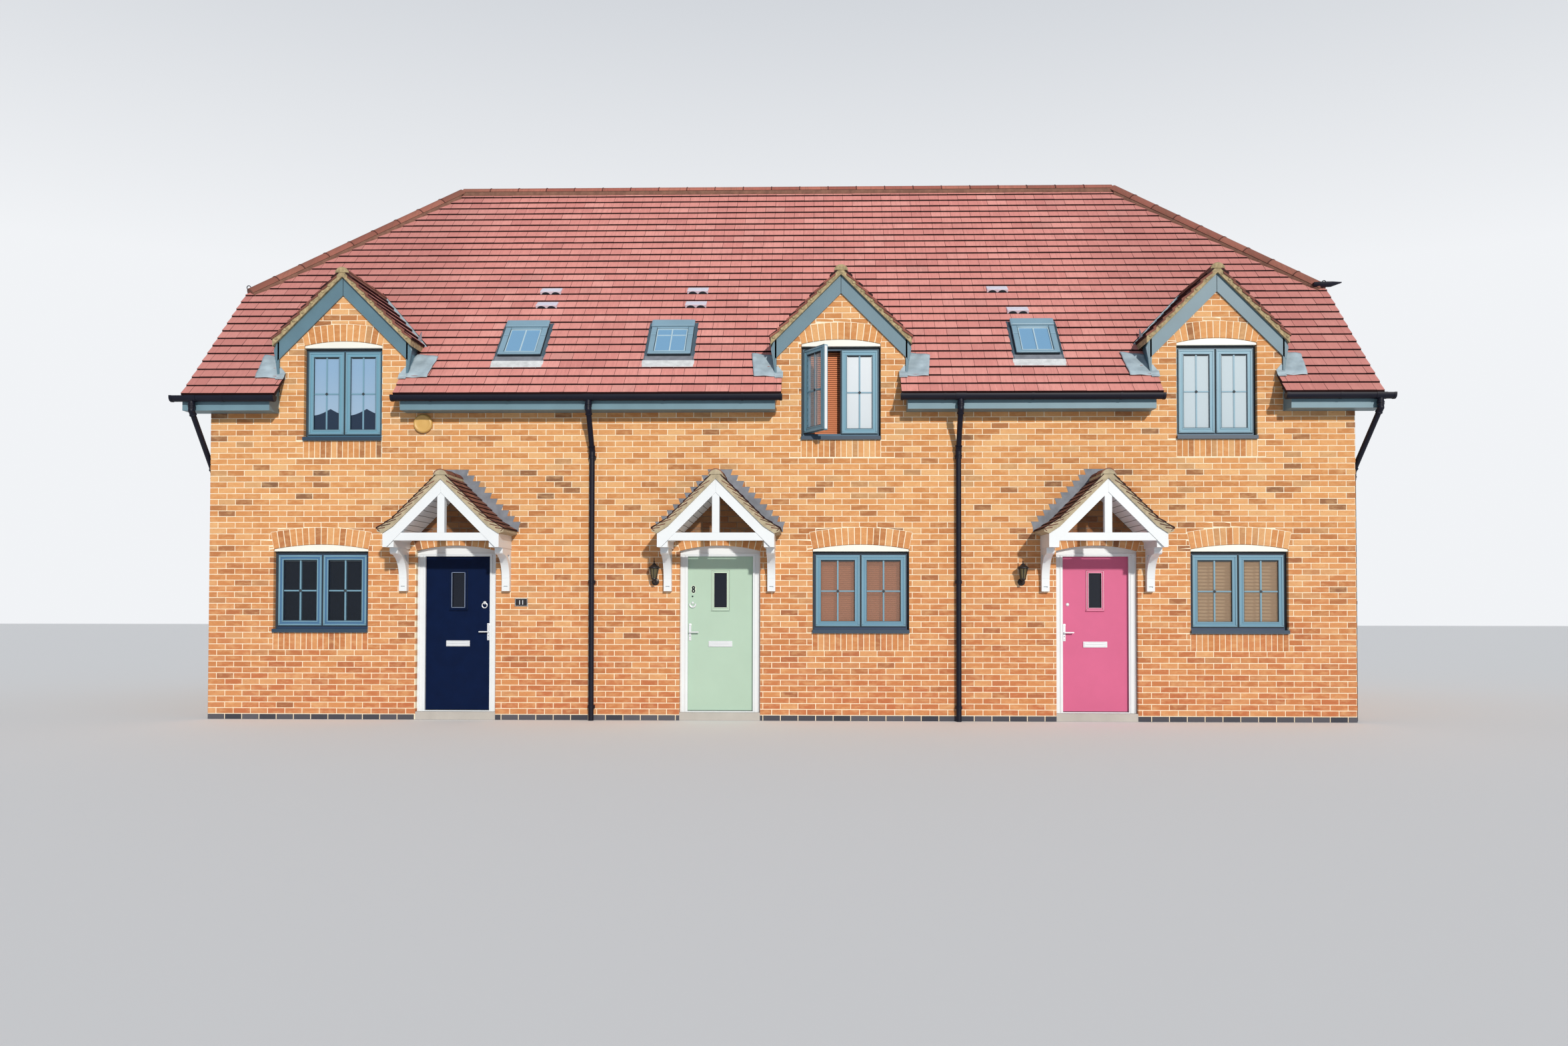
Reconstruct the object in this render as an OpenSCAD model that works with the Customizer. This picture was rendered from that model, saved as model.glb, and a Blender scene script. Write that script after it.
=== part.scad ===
// Row of three one-and-a-half-storey brick houses under one half-hipped tiled roof.
// The front faces -Y, +X runs to the right along the row and Z = 0 is the foot of the walls.
// The origin is in the middle of the row's footprint.

/* [Row] */
// Width of one house, from party line to party line
house_w = 4910; // [4600:10:5400]
// Depth of the row over the faces of its front and rear walls
house_d = 7200; // [6400:10:8400]
// Thickness of the cavity walls outside
wall_t = 300; // [260:5:360]
// Thickness of the party walls between the houses
party_t = 240; // [200:5:300]

/* [Levels] */
// Height of the ground floor above the foot of the walls
floor_z = 100; // [60:5:150]
// Height of the first floor above the foot of the walls
first_z = 2700; // [2600:10:2900]
// Thickness of the first floor
first_t = 220; // [180:5:260]
// Height at which the underside of the roof leaves the face of the wall
plate_z = 4235; // [4100:5:4400]

/* [Roof] */
// Pitch of the main slopes
roof_pitch = 45; // [40:0.5:50]
// Vertical thickness of rafters, battens and tiles together
roof_v = 226; // [180:2:260]
// Vertical thickness of the tiles alone, where they overhang
tile_v = 40; // [30:1:50]
// Overhang of the tiles at the eaves
eave_over = 300; // [240:5:360]
// Overhang of the tiles at the verges of the gables
verge_over = 240; // [200:5:280]
// How far the half-hip tiles overhang the gable wall
hip_over = 180; // [150:5:220]
// Distance from each end of the ridge to the face of the gable wall
ridge_in = 2210; // [1800:5:2400]
// Drop from the ridge to the eaves of the half-hip
hip_drop = 2141; // [1900:1:2400]
// Radius of the ridge and hip tiles
cap_r = 115; // [90:1:130]
// Height of the ridge tiles above the apex of the slopes
cap_rise = 55; // [40:1:70]

/* [Gablets] */
// Distance of each front gablet from the middle of its house
gablet_off = [-730, 825, 715];
// Half the width of the brick face of a gablet
gablet_half = 830; // [780:5:860]
// Height of the gablet tiles at their foot
gablet_eaves = 4915; // [4880:5:4950]
// Pitch of the gablets
gablet_pitch = 45; // [42:0.5:48]
// Vertical thickness of the gablet roof
gablet_v = 90; // [70:1:120]
// Overhang of the gablet tiles beyond the brick face, at the sides
gablet_side = 75; // [60:1:90]
// Overhang of the gablet tiles beyond the brick face, at the front
gablet_over = 70; // [60:1:90]
// Radius of the gablet ridge tiles
gablet_cap_r = 85; // [70:1:100]
// Thickness of the gablet cheeks behind the brick face
cheek_t = 100; // [80:5:120]
// Depth of a bargeboard, square to its slope
barge_d = 166; // [140:1:180]
// Thickness of a bargeboard
barge_t = 30; // [20:1:40]
// How far a gablet's bargeboards stop short of the edge of its tiles
barge_in = 30; // [20:1:45]
// Width of the lead saddle at each foot of a gablet
saddle_w = 260; // [220:5:320]
// Length of the lead saddle along the slope
saddle_l = 430; // [380:5:480]
// Radius of the corners of the lead saddle
saddle_r = 60; // [40:5:80]

/* [Eaves] */
// Distance of the fascia's face from the wall
fascia_out = 270; // [230:5:330]
// Height of the underside of the boxed eaves
soffit_z = 3960; // [3900:5:4000]
// Thickness of the fascia
fascia_t = 22; // [18:1:30]
// Thickness of the soffit board
soffit_t = 12; // [9:1:18]
// Clearance between a boxed eaves end and the gablet's brick face
eaves_gap = 10; // [5:1:30]
// How far the eaves tiles reach past their boxed eaves, in front of a gablet's brick face
eaves_lap = 70; // [0:5:90]
// Radius of a gutter
gutter_r = 57; // [50:1:64]
// Height of the upright sides of a gutter, over its round bottom
gutter_side = 18; // [10:1:24]
// Thickness of the gutter's wall
gutter_t = 4; // [3:0.5:6]
// Drop from the tile edge to the rim of the gutter
gutter_drop = 24; // [20:1:34]
// Radius of a downpipe
pipe_r = 34; // [30:1:40]
// Radius of the elbows in a swan-neck
elbow_r = 42; // [38:1:50]
// Distance of a downpipe's centre line from the wall
pipe_out = 60; // [50:1:80]
// Distance of the two outer outlets from the verges
outlet_in = [150, 60];
// Length of the outlet under a gutter
outlet_l = 70; // [50:5:90]
// How far the gutters reach past the verges
verge_stop = 115; // [60:5:160]
// Height of the foot of the inner swan-necks
neck_z = 3455; // [3300:5:3600]
// Height of the foot of the two outer swan-necks, on the gable walls
end_neck_z = 3200; // [3050:5:3300]
// Distance of the row's two inner downpipes from the party lines
pipe_off = [80, -130];
// Distance between the clips of a downpipe
clip_step = 1600; // [1200:50:1900]
// Height of a downpipe clip
clip_h = 40; // [30:5:60]
// Distance of the two outer downpipes along the gable walls from the front corners
pipe_corner = 200; // [180:5:260]

/* [Windows] */
// Distance of each ground-floor window from the middle of its house
window_off = [-998, 1080, 986];
// Width of a ground-floor window frame
low_w = 1240; // [1100:10:1300]
// Height of a ground-floor window frame
low_h = 1000; // [900:10:1100]
// Height of the foot of the ground-floor window frames
low_z = 1165; // [1100:5:1250]
// Width of an upper window frame
high_w = 1025; // [900:5:1100]
// Height of an upper window frame
high_h = 1160; // [1050:10:1200]
// Height of the foot of the upper window frames
high_z = 3650; // [3600:5:3700]
// How far the frames stand back from the wall's face
reveal = 70; // [50:1:100]
// Depth of a window frame from front to back
frame_t = 70; // [60:1:80]
// Width of the outer frame members
frame_w = 38; // [30:1:50]
// Width of the mullion
mullion_w = 14; // [10:1:30]
// Width of the rails and stiles of a casement
sash_w = 72; // [60:1:80]
// How far a casement stands proud of its frame
sash_out = 12; // [8:1:16]
// Depth of a casement from front to back
sash_t = 56; // [50:1:60]
// Thickness of the sealed panes
glass_t = 24; // [20:1:28]
// Rise of the white head from the frame to its springing
head_side = 35; // [25:1:45]
// Rise of the white head above its springing
head_rise = 60; // [40:1:80]
// Thickness of a window sill
sill_t = 45; // [38:1:60]
// How far a sill stands proud of the wall
sill_out = 40; // [30:1:60]
// Clearance round the open casement
casement_gap = 4; // [3:0.5:6]
// Angle at which the open casement stands
casement_angle = 57; // [30:1:80]

/* [Doors] */
// Distance of each front door from the middle of its house
door_off = [765, -730, -820];
// Side on which each front door hangs: -1 is left and 1 is right
door_hand = [-1, 1, 1];
// Width of a door leaf
leaf_w = 866; // [800:2:880]
// Height of a door leaf
leaf_h = 1999; // [1970:1:2010]
// Thickness of a door leaf
leaf_t = 44; // [40:1:54]
// Gap round a door leaf
leaf_gap = 7; // [6:1:9]
// Height of the leaf's foot above the floor
leaf_foot = 20; // [16:1:26]
// Width of the door frame's members
jamb_w = 80; // [70:1:90]
// Height of a door frame's head under the springing of its arch
door_head_w = 50; // [44:1:60]
// Depth of a door frame from front to back
jamb_t = 90; // [80:1:110]
// How far the frame's stop reaches over the leaf's edge
stop_w = 12; // [10:1:16]
// Width of the door's glazed panel
light_w = 158; // [130:1:170]
// Height of the door's glazed panel
light_h = 440; // [400:5:480]
// Distance of the glazed panel's top from the top of the leaf
light_drop = 228; // [180:2:280]
// Width of the panel's moulded surround
light_trim = 34; // [24:1:38]
// Width of a letter plate
letter_w = 306; // [250:2:320]
// Height of a letter plate
letter_h = 74; // [60:1:80]
// Distance of the letter plate's middle from the top of the leaf
letter_drop = 1142; // [1060:1:1170]
// Distance of the lever from the top of the leaf
lever_drop = 990; // [950:2:1020]
// Length of the lever
lever_l = 115; // [100:1:130]
// Height of the long plate behind a lever
lever_plate_h = 220; // [180:5:250]
// Width of the long plate behind a lever
lever_plate_w = 32; // [26:1:40]
// Distance of a lever's middle from the edge of the leaf
backset = 38; // [34:1:65]
// Heights of the feet of the hinges above the foot of the leaf
hinge_up = [180, 930, 1680];
// Radius of a hinge's knuckles
hinge_r = 7; // [6:0.5:8]
// Height of each of a hinge's three knuckles
knuckle_h = 32; // [26:1:40]
// Width of a hinge plate
hinge_w = 30; // [24:1:40]

/* [Porches] */
// How far the porch roofs reach out from the wall
porch_out = 670; // [600:5:760]
// Half the width of a porch roof over its tiles
porch_half = 790; // [760:5:830]
// Height of the apex of the porch tiles
porch_z = 3147; // [3100:1:3200]
// Pitch of the porch roofs above their flared feet
porch_pitch = 45; // [42:0.5:48]
// Pitch of the flared feet of the porch roofs
flare_pitch = 33; // [28:0.5:38]
// Half the width of a porch where its feet start to flare
flare_half = 590; // [560:5:620]
// Vertical thickness of the porch tiles and their bedding
porch_v = 105; // [90:1:115]
// Thickness of the porch tiles at their edge
porch_edge = 40; // [30:1:50]
// Half the width of a porch over its bargeboards
truss_half = 725; // [700:5:750]
// Vertical depth of the porch bargeboards
porch_barge_v = 169; // [150:1:190]
// Thickness of the porch bargeboards
porch_barge_t = 30; // [20:1:40]
// Height of the foot of the porch bargeboards
porch_foot_z = 2196; // [2180:1:2220]
// Height of the underside of the porch's tie beam
tie_z = 2278; // [2270:1:2300]
// Depth of the tie beam
tie_d = 97; // [80:1:110]
// Width of the porch frame's timbers
timber_w = 90; // [80:1:100]
// Distance of the tie beam and king post behind the face of the bargeboards
timber_in = 8; // [4:1:12]
// Width of the boxed beam on each side of a porch
beam_w = 125; // [110:1:140]
// Radius of the ridge tiles of the porches
porch_cap_r = 95; // [80:1:110]
// Height of the foot of the porch brackets
bracket_z = 1656; // [1600:5:1700]
// Width of the porch brackets
bracket_w = 100; // [90:1:110]
// How far the porch brackets reach out from the wall
bracket_out = 420; // [380:5:480]
// Depth of a bracket's post from front to back
post_d = 80; // [60:1:100]
// Height of a bracket's moulded arm
arm_h = 78; // [60:1:100]
// Radius of the curved brace of a bracket
brace_r = 360; // [320:5:380]
// Width of the curved brace of a bracket
brace_w = 62; // [50:1:80]
// Height of one brick course, which is one step of the lead
course_h = 75; // [70:0.5:80]
// Number of steps in the lead on each side of a porch
lead_steps = 10; // [8:1:11]
// Half the width of the lead over the ridge of a porch
lead_top = 161; // [140:1:180]
// How far each step of the lead is cut back under its point
lead_back = 25; // [15:1:35]
// Thickness of the lead
lead_t = 6; // [4:1:8]

/* [Skylights and vents] */
// Distance of each skylight from the middle of its house
skylight_off = [1500, -1430, -1510];
// Width of a skylight
skylight_w = 560; // [520:5:600]
// Length of a skylight along the slope
skylight_l = 890; // [850:5:950]
// Distance of a skylight's foot from the tile edge, along the slope
skylight_foot = 705; // [650:5:850]
// Width of a skylight's frame
skylight_frame = 62; // [55:1:70]
// Height of a skylight's frame above the tiles
skylight_up = 55; // [45:1:70]
// Length of the lead apron below a skylight
apron_l = 150; // [120:5:180]
// How far the lead round a skylight reaches past its frame
apron_side = 60; // [40:5:80]
// Distance of each pair of vent tiles from the middle of its house
vent_off = [1670, -1175, -1740];
// Distances of the two vent tiles from the tile edge, along the slope
vent_up = [2110, 2480];
// Width of a vent tile's hoods
vent_w = 290; // [260:5:310]
// Length of a vent tile's hoods along the slope
vent_l = 150; // [120:5:180]

/* [Wall fittings] */
// Height of the middle of the coach lamps
lamp_z = 1900; // [1850:5:1950]
// Distance of the middle and right coach lamps from the middle of their doors
lamp_off = [830, 960];
// Width of a coach lamp's body
lamp_w = 120; // [100:1:140]
// Height of a coach lamp's glazed body
lamp_h = 190; // [160:1:220]
// Radius of the alarm box
alarm_r = 120; // [100:1:130]
// Thickness of the alarm box
alarm_t = 50; // [40:1:60]
// Distance of the alarm box from the middle of its house
alarm_off = 330; // [250:5:350]
// Height of the middle of the alarm box
alarm_z = 3820; // [3700:5:3900]
// Width of the number plaque
plaque_w = 165; // [140:1:180]
// Height of the number plaque
plaque_h = 105; // [90:1:120]
// Distance of the number plaque from the middle of its house
plaque_off = 1615; // [1550:5:1650]
// Height of the middle of the number plaque
plaque_z = 1510; // [1450:5:1550]

/* [Hidden] */
$fn = 48;
HOUSES = [0, 1, 2];
row_half = len(HOUSES) * house_w / 2;
front_y = -house_d / 2;
inner_y = front_y + wall_t;
inner_x = row_half - wall_t;
roof_t = tan(roof_pitch);
ridge_z = plate_z + house_d / 2 * roof_t + roof_v;
eave_y = front_y - eave_over;
eave_z = ridge_z + eave_y * roof_t;
verge_x = row_half + verge_over;
ridge_x = row_half - ridge_in;
hip_x = row_half + hip_over;
hip_t = hip_drop / (hip_x - ridge_x);
hip_y = hip_drop / roof_t;
hip_eave_z = ridge_z - hip_drop;
// Face of the fascia under a half-hip
hip_face = hip_x - (eave_over - fascia_out);
// Where the hips cross that fascia
hip_face_y = (hip_face - ridge_x) * hip_t / roof_t;
// Where the hips cross the verges
verge_y = (verge_x - ridge_x) * hip_t / roof_t;
gablet_t = tan(gablet_pitch);
gablet_edge = gablet_half + gablet_side;
gablet_z = gablet_eaves + gablet_edge * gablet_t;
gablet_front = front_y - gablet_over;
porch_t = tan(porch_pitch);
flare_t = tan(flare_pitch);
porch_front = front_y - porch_out;
door_half = leaf_w / 2 + leaf_gap + jamb_w;
door_top = floor_z + leaf_foot + leaf_h + leaf_gap;
door_spring = door_top + door_head_w;
door_rise = 70;
light_foot = leaf_h - light_drop - light_h;
jamb_front = front_y + reveal;
hinge_plate_t = 3;
// Clearance between the foot of a leaf and its threshold
sill_gap = 8;
knuckle_gap = 0.3;
leaf_back = jamb_front + jamb_t;
leaf_front = leaf_back - leaf_t;
// Hinge pins stand behind the leaf, in line with the gap at its edge
hinge_x = leaf_w / 2 + leaf_gap / 2;
hinge_y = leaf_back + hinge_r + 1;
trim_t = 8;
cut = 20;
// Open joint between pieces that are butted or laid on each other
joint = 0.5;

function house_x(i) = (i - (len(HOUSES) - 1) / 2) * house_w;
function gablet_x(i) = house_x(i) + gablet_off[i];
function window_x(i) = house_x(i) + window_off[i];
function door_x(i) = house_x(i) + door_off[i];
function skylight_x(i) = house_x(i) + skylight_off[i];
function vent_x(i) = house_x(i) + vent_off[i];
function party_x(i) = house_x(i) + house_w / 2;
// Height of the tiles above a place on the front slope
function slope_z(y) = ridge_z + y * roof_t;
// Height of the tiles above a place on the right-hand half-hip
function hip_slope_z(x) = ridge_z - (x - ridge_x) * hip_t;

// Basic solids
module block(x0, x1, y0, y1, z0, z1) {
    translate([x0, y0, z0]) cube([x1 - x0, y1 - y0, z1 - z0]);
}

// A (y, z) outline carried along X
module span_x(x0, x1) {
    translate([x0, 0, 0]) rotate([90, 0, 90]) linear_extrude(x1 - x0) children();
}

// An (x, z) outline carried along Y
module span_y(y0, y1) {
    translate([0, y1, 0]) rotate([90, 0, 0]) linear_extrude(y1 - y0) children();
}

// The front and, turned about the middle of the row, the rear
module front_and_rear() {
    children();
    rotate([0, 0, 180]) children();
}

// Both ends of the row
module both_ends() {
    children();
    mirror([1, 0, 0]) children();
}

// Everything below the underside of the roof
module below_roof() {
    z = ridge_z - roof_v;
    far = house_d;
    reach = row_half * 2;
    intersection() {
        span_x(-reach, reach)
            polygon([[-far, -cut], [far, -cut], [far, z - far * roof_t], [0, z], [-far, z - far * roof_t]]);
        span_y(-far, far)
            polygon([[-reach, -cut], [reach, -cut], [reach, z - (reach - ridge_x) * hip_t],
                     [ridge_x, z], [-ridge_x, z], [-reach, z - (reach - ridge_x) * hip_t]]);
    }
}

// Everything below the underside of a gablet's roof, out to a half width
module below_gablet(half, y0, y1) {
    z = gablet_z - gablet_v;
    span_y(y0, y1)
        polygon([[-half, plate_z - wall_t], [half, plate_z - wall_t], [half, z - half * gablet_t],
                 [0, z], [-half, z - half * gablet_t]]);
}

// Rectangle with a segmental arch on top, its springing at spring and its crown at spring + rise
module arched_outline(w, foot, spring, rise) {
    r = (w * w / 4 + rise * rise) / (2 * rise);
    intersection() {
        translate([0, spring + rise - r]) circle(r, $fn = 360);
        translate([-w / 2, foot]) square([w, spring - foot + rise + cut]);
    }
}

// Hole for a window and its sill, right through the front wall
module window_hole(w, z, h) {
    span_y(front_y - cut, inner_y + cut)
        arched_outline(w, z - sill_t, z + h + head_side, head_rise);
}

module window_holes(i) {
    translate([window_x(i), 0, 0]) window_hole(low_w, low_z, low_h);
    translate([gablet_x(i), 0, 0]) window_hole(high_w, high_z, high_h);
}

// Walls and floors
module ground_slab() {
    color("lightgray")
        for (i = HOUSES) {
            x0 = i == 0 ? -inner_x : party_x(i - 1) + party_t / 2;
            x1 = i == len(HOUSES) - 1 ? inner_x : party_x(i) - party_t / 2;
            block(x0, x1, inner_y, -inner_y, 0, floor_z);
            block(door_x(i) - door_half, door_x(i) + door_half, front_y, inner_y, 0, floor_z);
        }
}

module first_floor() {
    color("burlywood")
        for (i = HOUSES) {
            x0 = i == 0 ? -inner_x : party_x(i - 1) + party_t / 2;
            x1 = i == len(HOUSES) - 1 ? inner_x : party_x(i) - party_t / 2;
            block(x0, x1, inner_y, -inner_y, first_z - first_t, first_z);
        }
}

// Lengths of front wall between the doorways, with the gablets that stand on them
module front_wall() {
    color("peru") difference() {
        union() {
            for (i = [0 : len(HOUSES)]) {
                x0 = i == 0 ? -row_half : door_x(i - 1) + door_half;
                x1 = i == len(HOUSES) ? row_half : door_x(i) - door_half;
                intersection() {
                    block(x0, x1, front_y, inner_y, 0, ridge_z);
                    below_roof();
                }
            }
            for (i = HOUSES)
                translate([gablet_x(i), 0, 0]) below_gablet(gablet_half, front_y, inner_y);
        }
        for (i = HOUSES) window_holes(i);
    }
}

module door_hole() {
    span_y(front_y - cut, inner_y + cut)
        arched_outline(2 * door_half, 0, door_spring, door_rise);
}

module door_lintels() {
    color("peru")
        for (i = HOUSES) intersection() {
            below_roof();
            translate([door_x(i), 0, 0]) difference() {
                block(-door_half, door_half, front_y, inner_y, door_spring, ridge_z);
                door_hole();
            }
        }
}

module rear_wall() {
    color("peru") rotate([0, 0, 180]) difference() {
        union() {
            intersection() {
                block(-row_half, row_half, front_y, inner_y, 0, ridge_z);
                below_roof();
            }
            for (i = HOUSES)
                translate([gablet_x(i), 0, 0]) below_gablet(gablet_half, front_y, inner_y);
        }
        for (i = HOUSES) {
            window_holes(i);
            translate([door_x(i), 0, floor_z]) span_y(front_y - cut, inner_y + cut)
                arched_outline(2 * door_half, 0, door_spring - floor_z, door_rise);
        }
    }
}

module gable_walls() {
    color("peru") both_ends() intersection() {
        block(inner_x, row_half, inner_y, -inner_y, 0, ridge_z);
        below_roof();
    }
}

module party_walls() {
    color("silver")
        for (i = [0 : len(HOUSES) - 2]) intersection() {
            block(party_x(i) - party_t / 2, party_x(i) + party_t / 2, inner_y, -inner_y, 0, ridge_z);
            below_roof();
        }
}

// Roof
// Outline of a slope in (y, z): tiles alone outside the wall, rafters under them inside it
module slope_outline() {
    polygon([[eave_y, eave_z - tile_v], [eave_y, eave_z], [0, ridge_z], [0, ridge_z - roof_v],
             [front_y, plate_z], [front_y, slope_z(front_y) - tile_v]]);
}

// Outline of the tiles alone
module tile_outline() {
    polygon([[eave_y, eave_z - tile_v], [eave_y, eave_z], [0, ridge_z], [0, ridge_z - tile_v]]);
}

// Plan of the front slope: straight verges below the half-hips and mitred hips above them
module slope_plan() {
    polygon([[-ridge_x, 0], [ridge_x, 0], [verge_x, -verge_y], [verge_x, eave_y],
             [-verge_x, eave_y], [-verge_x, -verge_y]]);
}

// Hole for a skylight, square to the slope
module on_slope(x, up) {
    translate([x, eave_y, eave_z]) rotate([roof_pitch, 0, 0]) translate([0, up, 0]) children();
}

module skylight_hole(i) {
    on_slope(skylight_x(i), skylight_foot)
        translate([-skylight_w / 2 + skylight_frame, skylight_frame, -roof_v * 2])
            cube([skylight_w - 2 * skylight_frame, skylight_l - 2 * skylight_frame, roof_v * 3]);
}

// One main slope, notched where the gablets open into the rooms
module main_slope() {
    difference() {
        intersection() {
            union() {
                span_x(-row_half, row_half) slope_outline();
                span_x(-verge_x, verge_x) tile_outline();
            }
            translate([0, 0, -cut]) linear_extrude(ridge_z + cut) slope_plan();
        }
        for (i = HOUSES) translate([gablet_x(i), 0, 0]) {
            below_gablet(gablet_half - cheek_t, inner_y - 1, 0);
            block(-gablet_half + eaves_lap, gablet_half - eaves_lap, eave_y - cut, front_y, 0, ridge_z);
            block(-gablet_half, gablet_half, front_y - 1, inner_y, 0, ridge_z);
        }
    }
}

module front_roof() {
    color("indianred") difference() {
        main_slope();
        for (i = HOUSES) skylight_hole(i);
    }
}

module rear_roof() { color("indianred") rotate([0, 0, 180]) main_slope(); }

// Outline of a half-hip in (x, z), the right-hand one
module hip_outline() {
    z = hip_slope_z(hip_x);
    wall_z = hip_slope_z(row_half);
    polygon([[hip_x, z - tile_v], [hip_x, z], [ridge_x, ridge_z], [ridge_x, ridge_z - roof_v + joint],
             [row_half, wall_z - roof_v + joint], [row_half, wall_z - tile_v]]);
}

module half_hips() {
    color("indianred") both_ends() intersection() {
        span_y(-hip_y, hip_y) hip_outline();
        translate([0, 0, -cut]) linear_extrude(ridge_z + cut)
            polygon([[ridge_x + 2 * joint, 0], [hip_x, -hip_y + 2 * joint], [hip_x, hip_y - 2 * joint]]);
    }
}

// Everything below the tiles of the whole roof
module below_tiles() {
    far = house_d;
    reach = row_half * 2;
    z = ridge_z + joint;
    intersection() {
        span_x(-reach, reach)
            polygon([[-far, 0], [far, 0], [far, z - far * roof_t], [0, z], [-far, z - far * roof_t]]);
        span_y(-far, far)
            polygon([[-reach, 0], [reach, 0], [reach, z - (reach - ridge_x) * hip_t], [ridge_x, z],
                     [-ridge_x, z], [-reach, z - (reach - ridge_x) * hip_t]]);
    }
}

// Bar along one hip, from the end of the ridge down to the corner of the half-hip
module hip_bar(side) {
    run = norm([hip_x - ridge_x, hip_y]);
    drop = cap_r - cap_rise;
    translate([ridge_x, 0, ridge_z - drop])
        rotate([0, 0, side * atan2(hip_y, hip_x - ridge_x)])
            rotate([0, 90 + atan2(hip_drop, run), 0])
                cylinder(r = cap_r, h = norm([run, hip_drop]));
}

module ridge_tiles() {
    color("saddlebrown") {
        difference() {
            translate([-ridge_x, 0, ridge_z - cap_r + cap_rise]) rotate([0, 90, 0])
                cylinder(r = cap_r, h = 2 * ridge_x);
            below_tiles();
        }
        front_and_rear() for (i = HOUSES) translate([gablet_x(i), 0, 0]) difference() {
            translate([0, gablet_front, gablet_z - gablet_cap_r + cap_rise / 2]) rotate([-90, 0, 0])
                cylinder(r = gablet_cap_r, h = house_d / 2);
            span_y(gablet_front - cut, 0)
                polygon([[0, gablet_z], [gablet_edge, gablet_eaves], [gablet_edge, 0],
                         [-gablet_edge, 0], [-gablet_edge, gablet_eaves]]);
            below_front_tiles();
        }
    }
}

// Hip tiles from each end of the ridge down to the corners of the half-hips
module hip_tiles() {
    color("saddlebrown") both_ends() for (side = [-1, 1]) difference() {
        intersection() {
            hip_bar(side);
            block(ridge_x + joint, hip_x, side > 0 ? joint : eave_y, side > 0 ? -eave_y : -joint,
                  0, ridge_z + cap_r);
        }
        below_tiles();
    }
}

// Everything below the tiles of the front slope
module below_front_tiles() {
    span_x(-row_half, row_half)
        polygon([[-house_d, 0], [0, 0], [0, ridge_z], [-house_d, ridge_z - house_d * roof_t]]);
}

module gablet_roofs() {
    color("indianred") front_and_rear()
        for (i = HOUSES) translate([gablet_x(i), 0, 0]) difference() {
            foot = gablet_eaves - gablet_v;
            span_y(gablet_front, 0)
                polygon([[0, gablet_z], [gablet_edge, gablet_eaves], [gablet_edge, foot],
                         [0, gablet_z - gablet_v], [-gablet_edge, foot], [-gablet_edge, gablet_eaves]]);
            below_front_tiles();
        }
}

module gablet_cheeks() {
    color("peru") front_and_rear()
        for (i = HOUSES) translate([gablet_x(i), 0, 0])
            for (side = [-1, 1]) difference() {
                intersection() {
                    below_gablet(gablet_half, inner_y, 0);
                    translate([side > 0 ? gablet_half - cheek_t : -gablet_half, inner_y, 0])
                        cube([cheek_t, house_d / 2 - wall_t, ridge_z]);
                }
                below_front_tiles();
            }
}

// Board under one side of a gablet's tiles, cut plumb at its foot and at the apex
module gablet_bargeboard() {
    z = gablet_z - gablet_v;
    half = gablet_edge - barge_in;
    v = barge_d / cos(gablet_pitch);
    span_y(front_y - barge_t, front_y)
        polygon([[joint, z - joint], [half, z - half * gablet_t], [half, z - half * gablet_t - v],
                 [joint, z - joint - v]]);
}

// Board under a verge of a big gable, from the boxed eaves up to the half-hip, and its soffit
module gable_bargeboard() {
    v = barge_d / cos(roof_pitch);
    inset = 5;
    foot_y = front_y + joint;
    top_y = -verge_y - joint;
    foot = slope_z(foot_y) - tile_v - joint;
    top = slope_z(top_y) - tile_v - joint;
    span_x(verge_x - barge_t - inset, verge_x - inset)
        polygon([[foot_y, foot], [top_y, top], [top_y, top - v], [foot_y, foot - v]]);
    span_x(row_half, verge_x - barge_t - inset - joint)
        polygon([[foot_y, foot - v + soffit_t], [top_y, top - v + soffit_t], [top_y, top - v],
                 [foot_y, foot - v]]);
}

module bargeboards() {
    color("slategray") {
        front_and_rear() for (i = HOUSES) translate([gablet_x(i), 0, 0]) both_ends() gablet_bargeboard();
        both_ends() for (side = [0, 1]) mirror([0, side, 0]) gable_bargeboard();
    }
}

// Rectangle with round corners
module rounded_outline(w, l, r) {
    translate([r, 0]) square([w - 2 * r, l]);
    translate([0, r]) square([w, l - 2 * r]);
    for (x = [r, w - r]) for (y = [r, l - r]) translate([x, y]) circle(r);
}

module lead_saddles() {
    color("gray") {
        front_and_rear() for (i = HOUSES) translate([gablet_x(i), 0, 0]) both_ends()
            on_slope(gablet_edge - saddle_r, eave_over / cos(roof_pitch) - saddle_r)
                linear_extrude(lead_t) rounded_outline(saddle_w, saddle_l, saddle_r);
        for (i = HOUSES) on_slope(skylight_x(i) - skylight_w / 2 - apron_side, skylight_foot - apron_l)
            cube([skylight_w + 2 * apron_side, apron_l - joint, lead_t]);
    }
}

// Ends of the lengths of eaves between the gablets
function eaves_start(i) = i == 0 ? -verge_x : gablet_x(i - 1) + gablet_half + eaves_gap;
function eaves_end(i) = i == len(HOUSES) ? verge_x : gablet_x(i) - gablet_half - eaves_gap;

module eaves_outline() {
    y = front_y - fascia_out;
    top = slope_z(y) - tile_v;
    polygon([[y, soffit_z], [front_y, soffit_z], [front_y, soffit_z + soffit_t],
             [y + fascia_t, soffit_z + soffit_t], [y + fascia_t, top + fascia_t * roof_t], [y, top]]);
}

module eaves_end_outline() {
    y = front_y - fascia_out;
    polygon([[y, soffit_z], [front_y, soffit_z], [front_y, slope_z(front_y) - tile_v],
             [y, slope_z(y) - tile_v]]);
}

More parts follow.
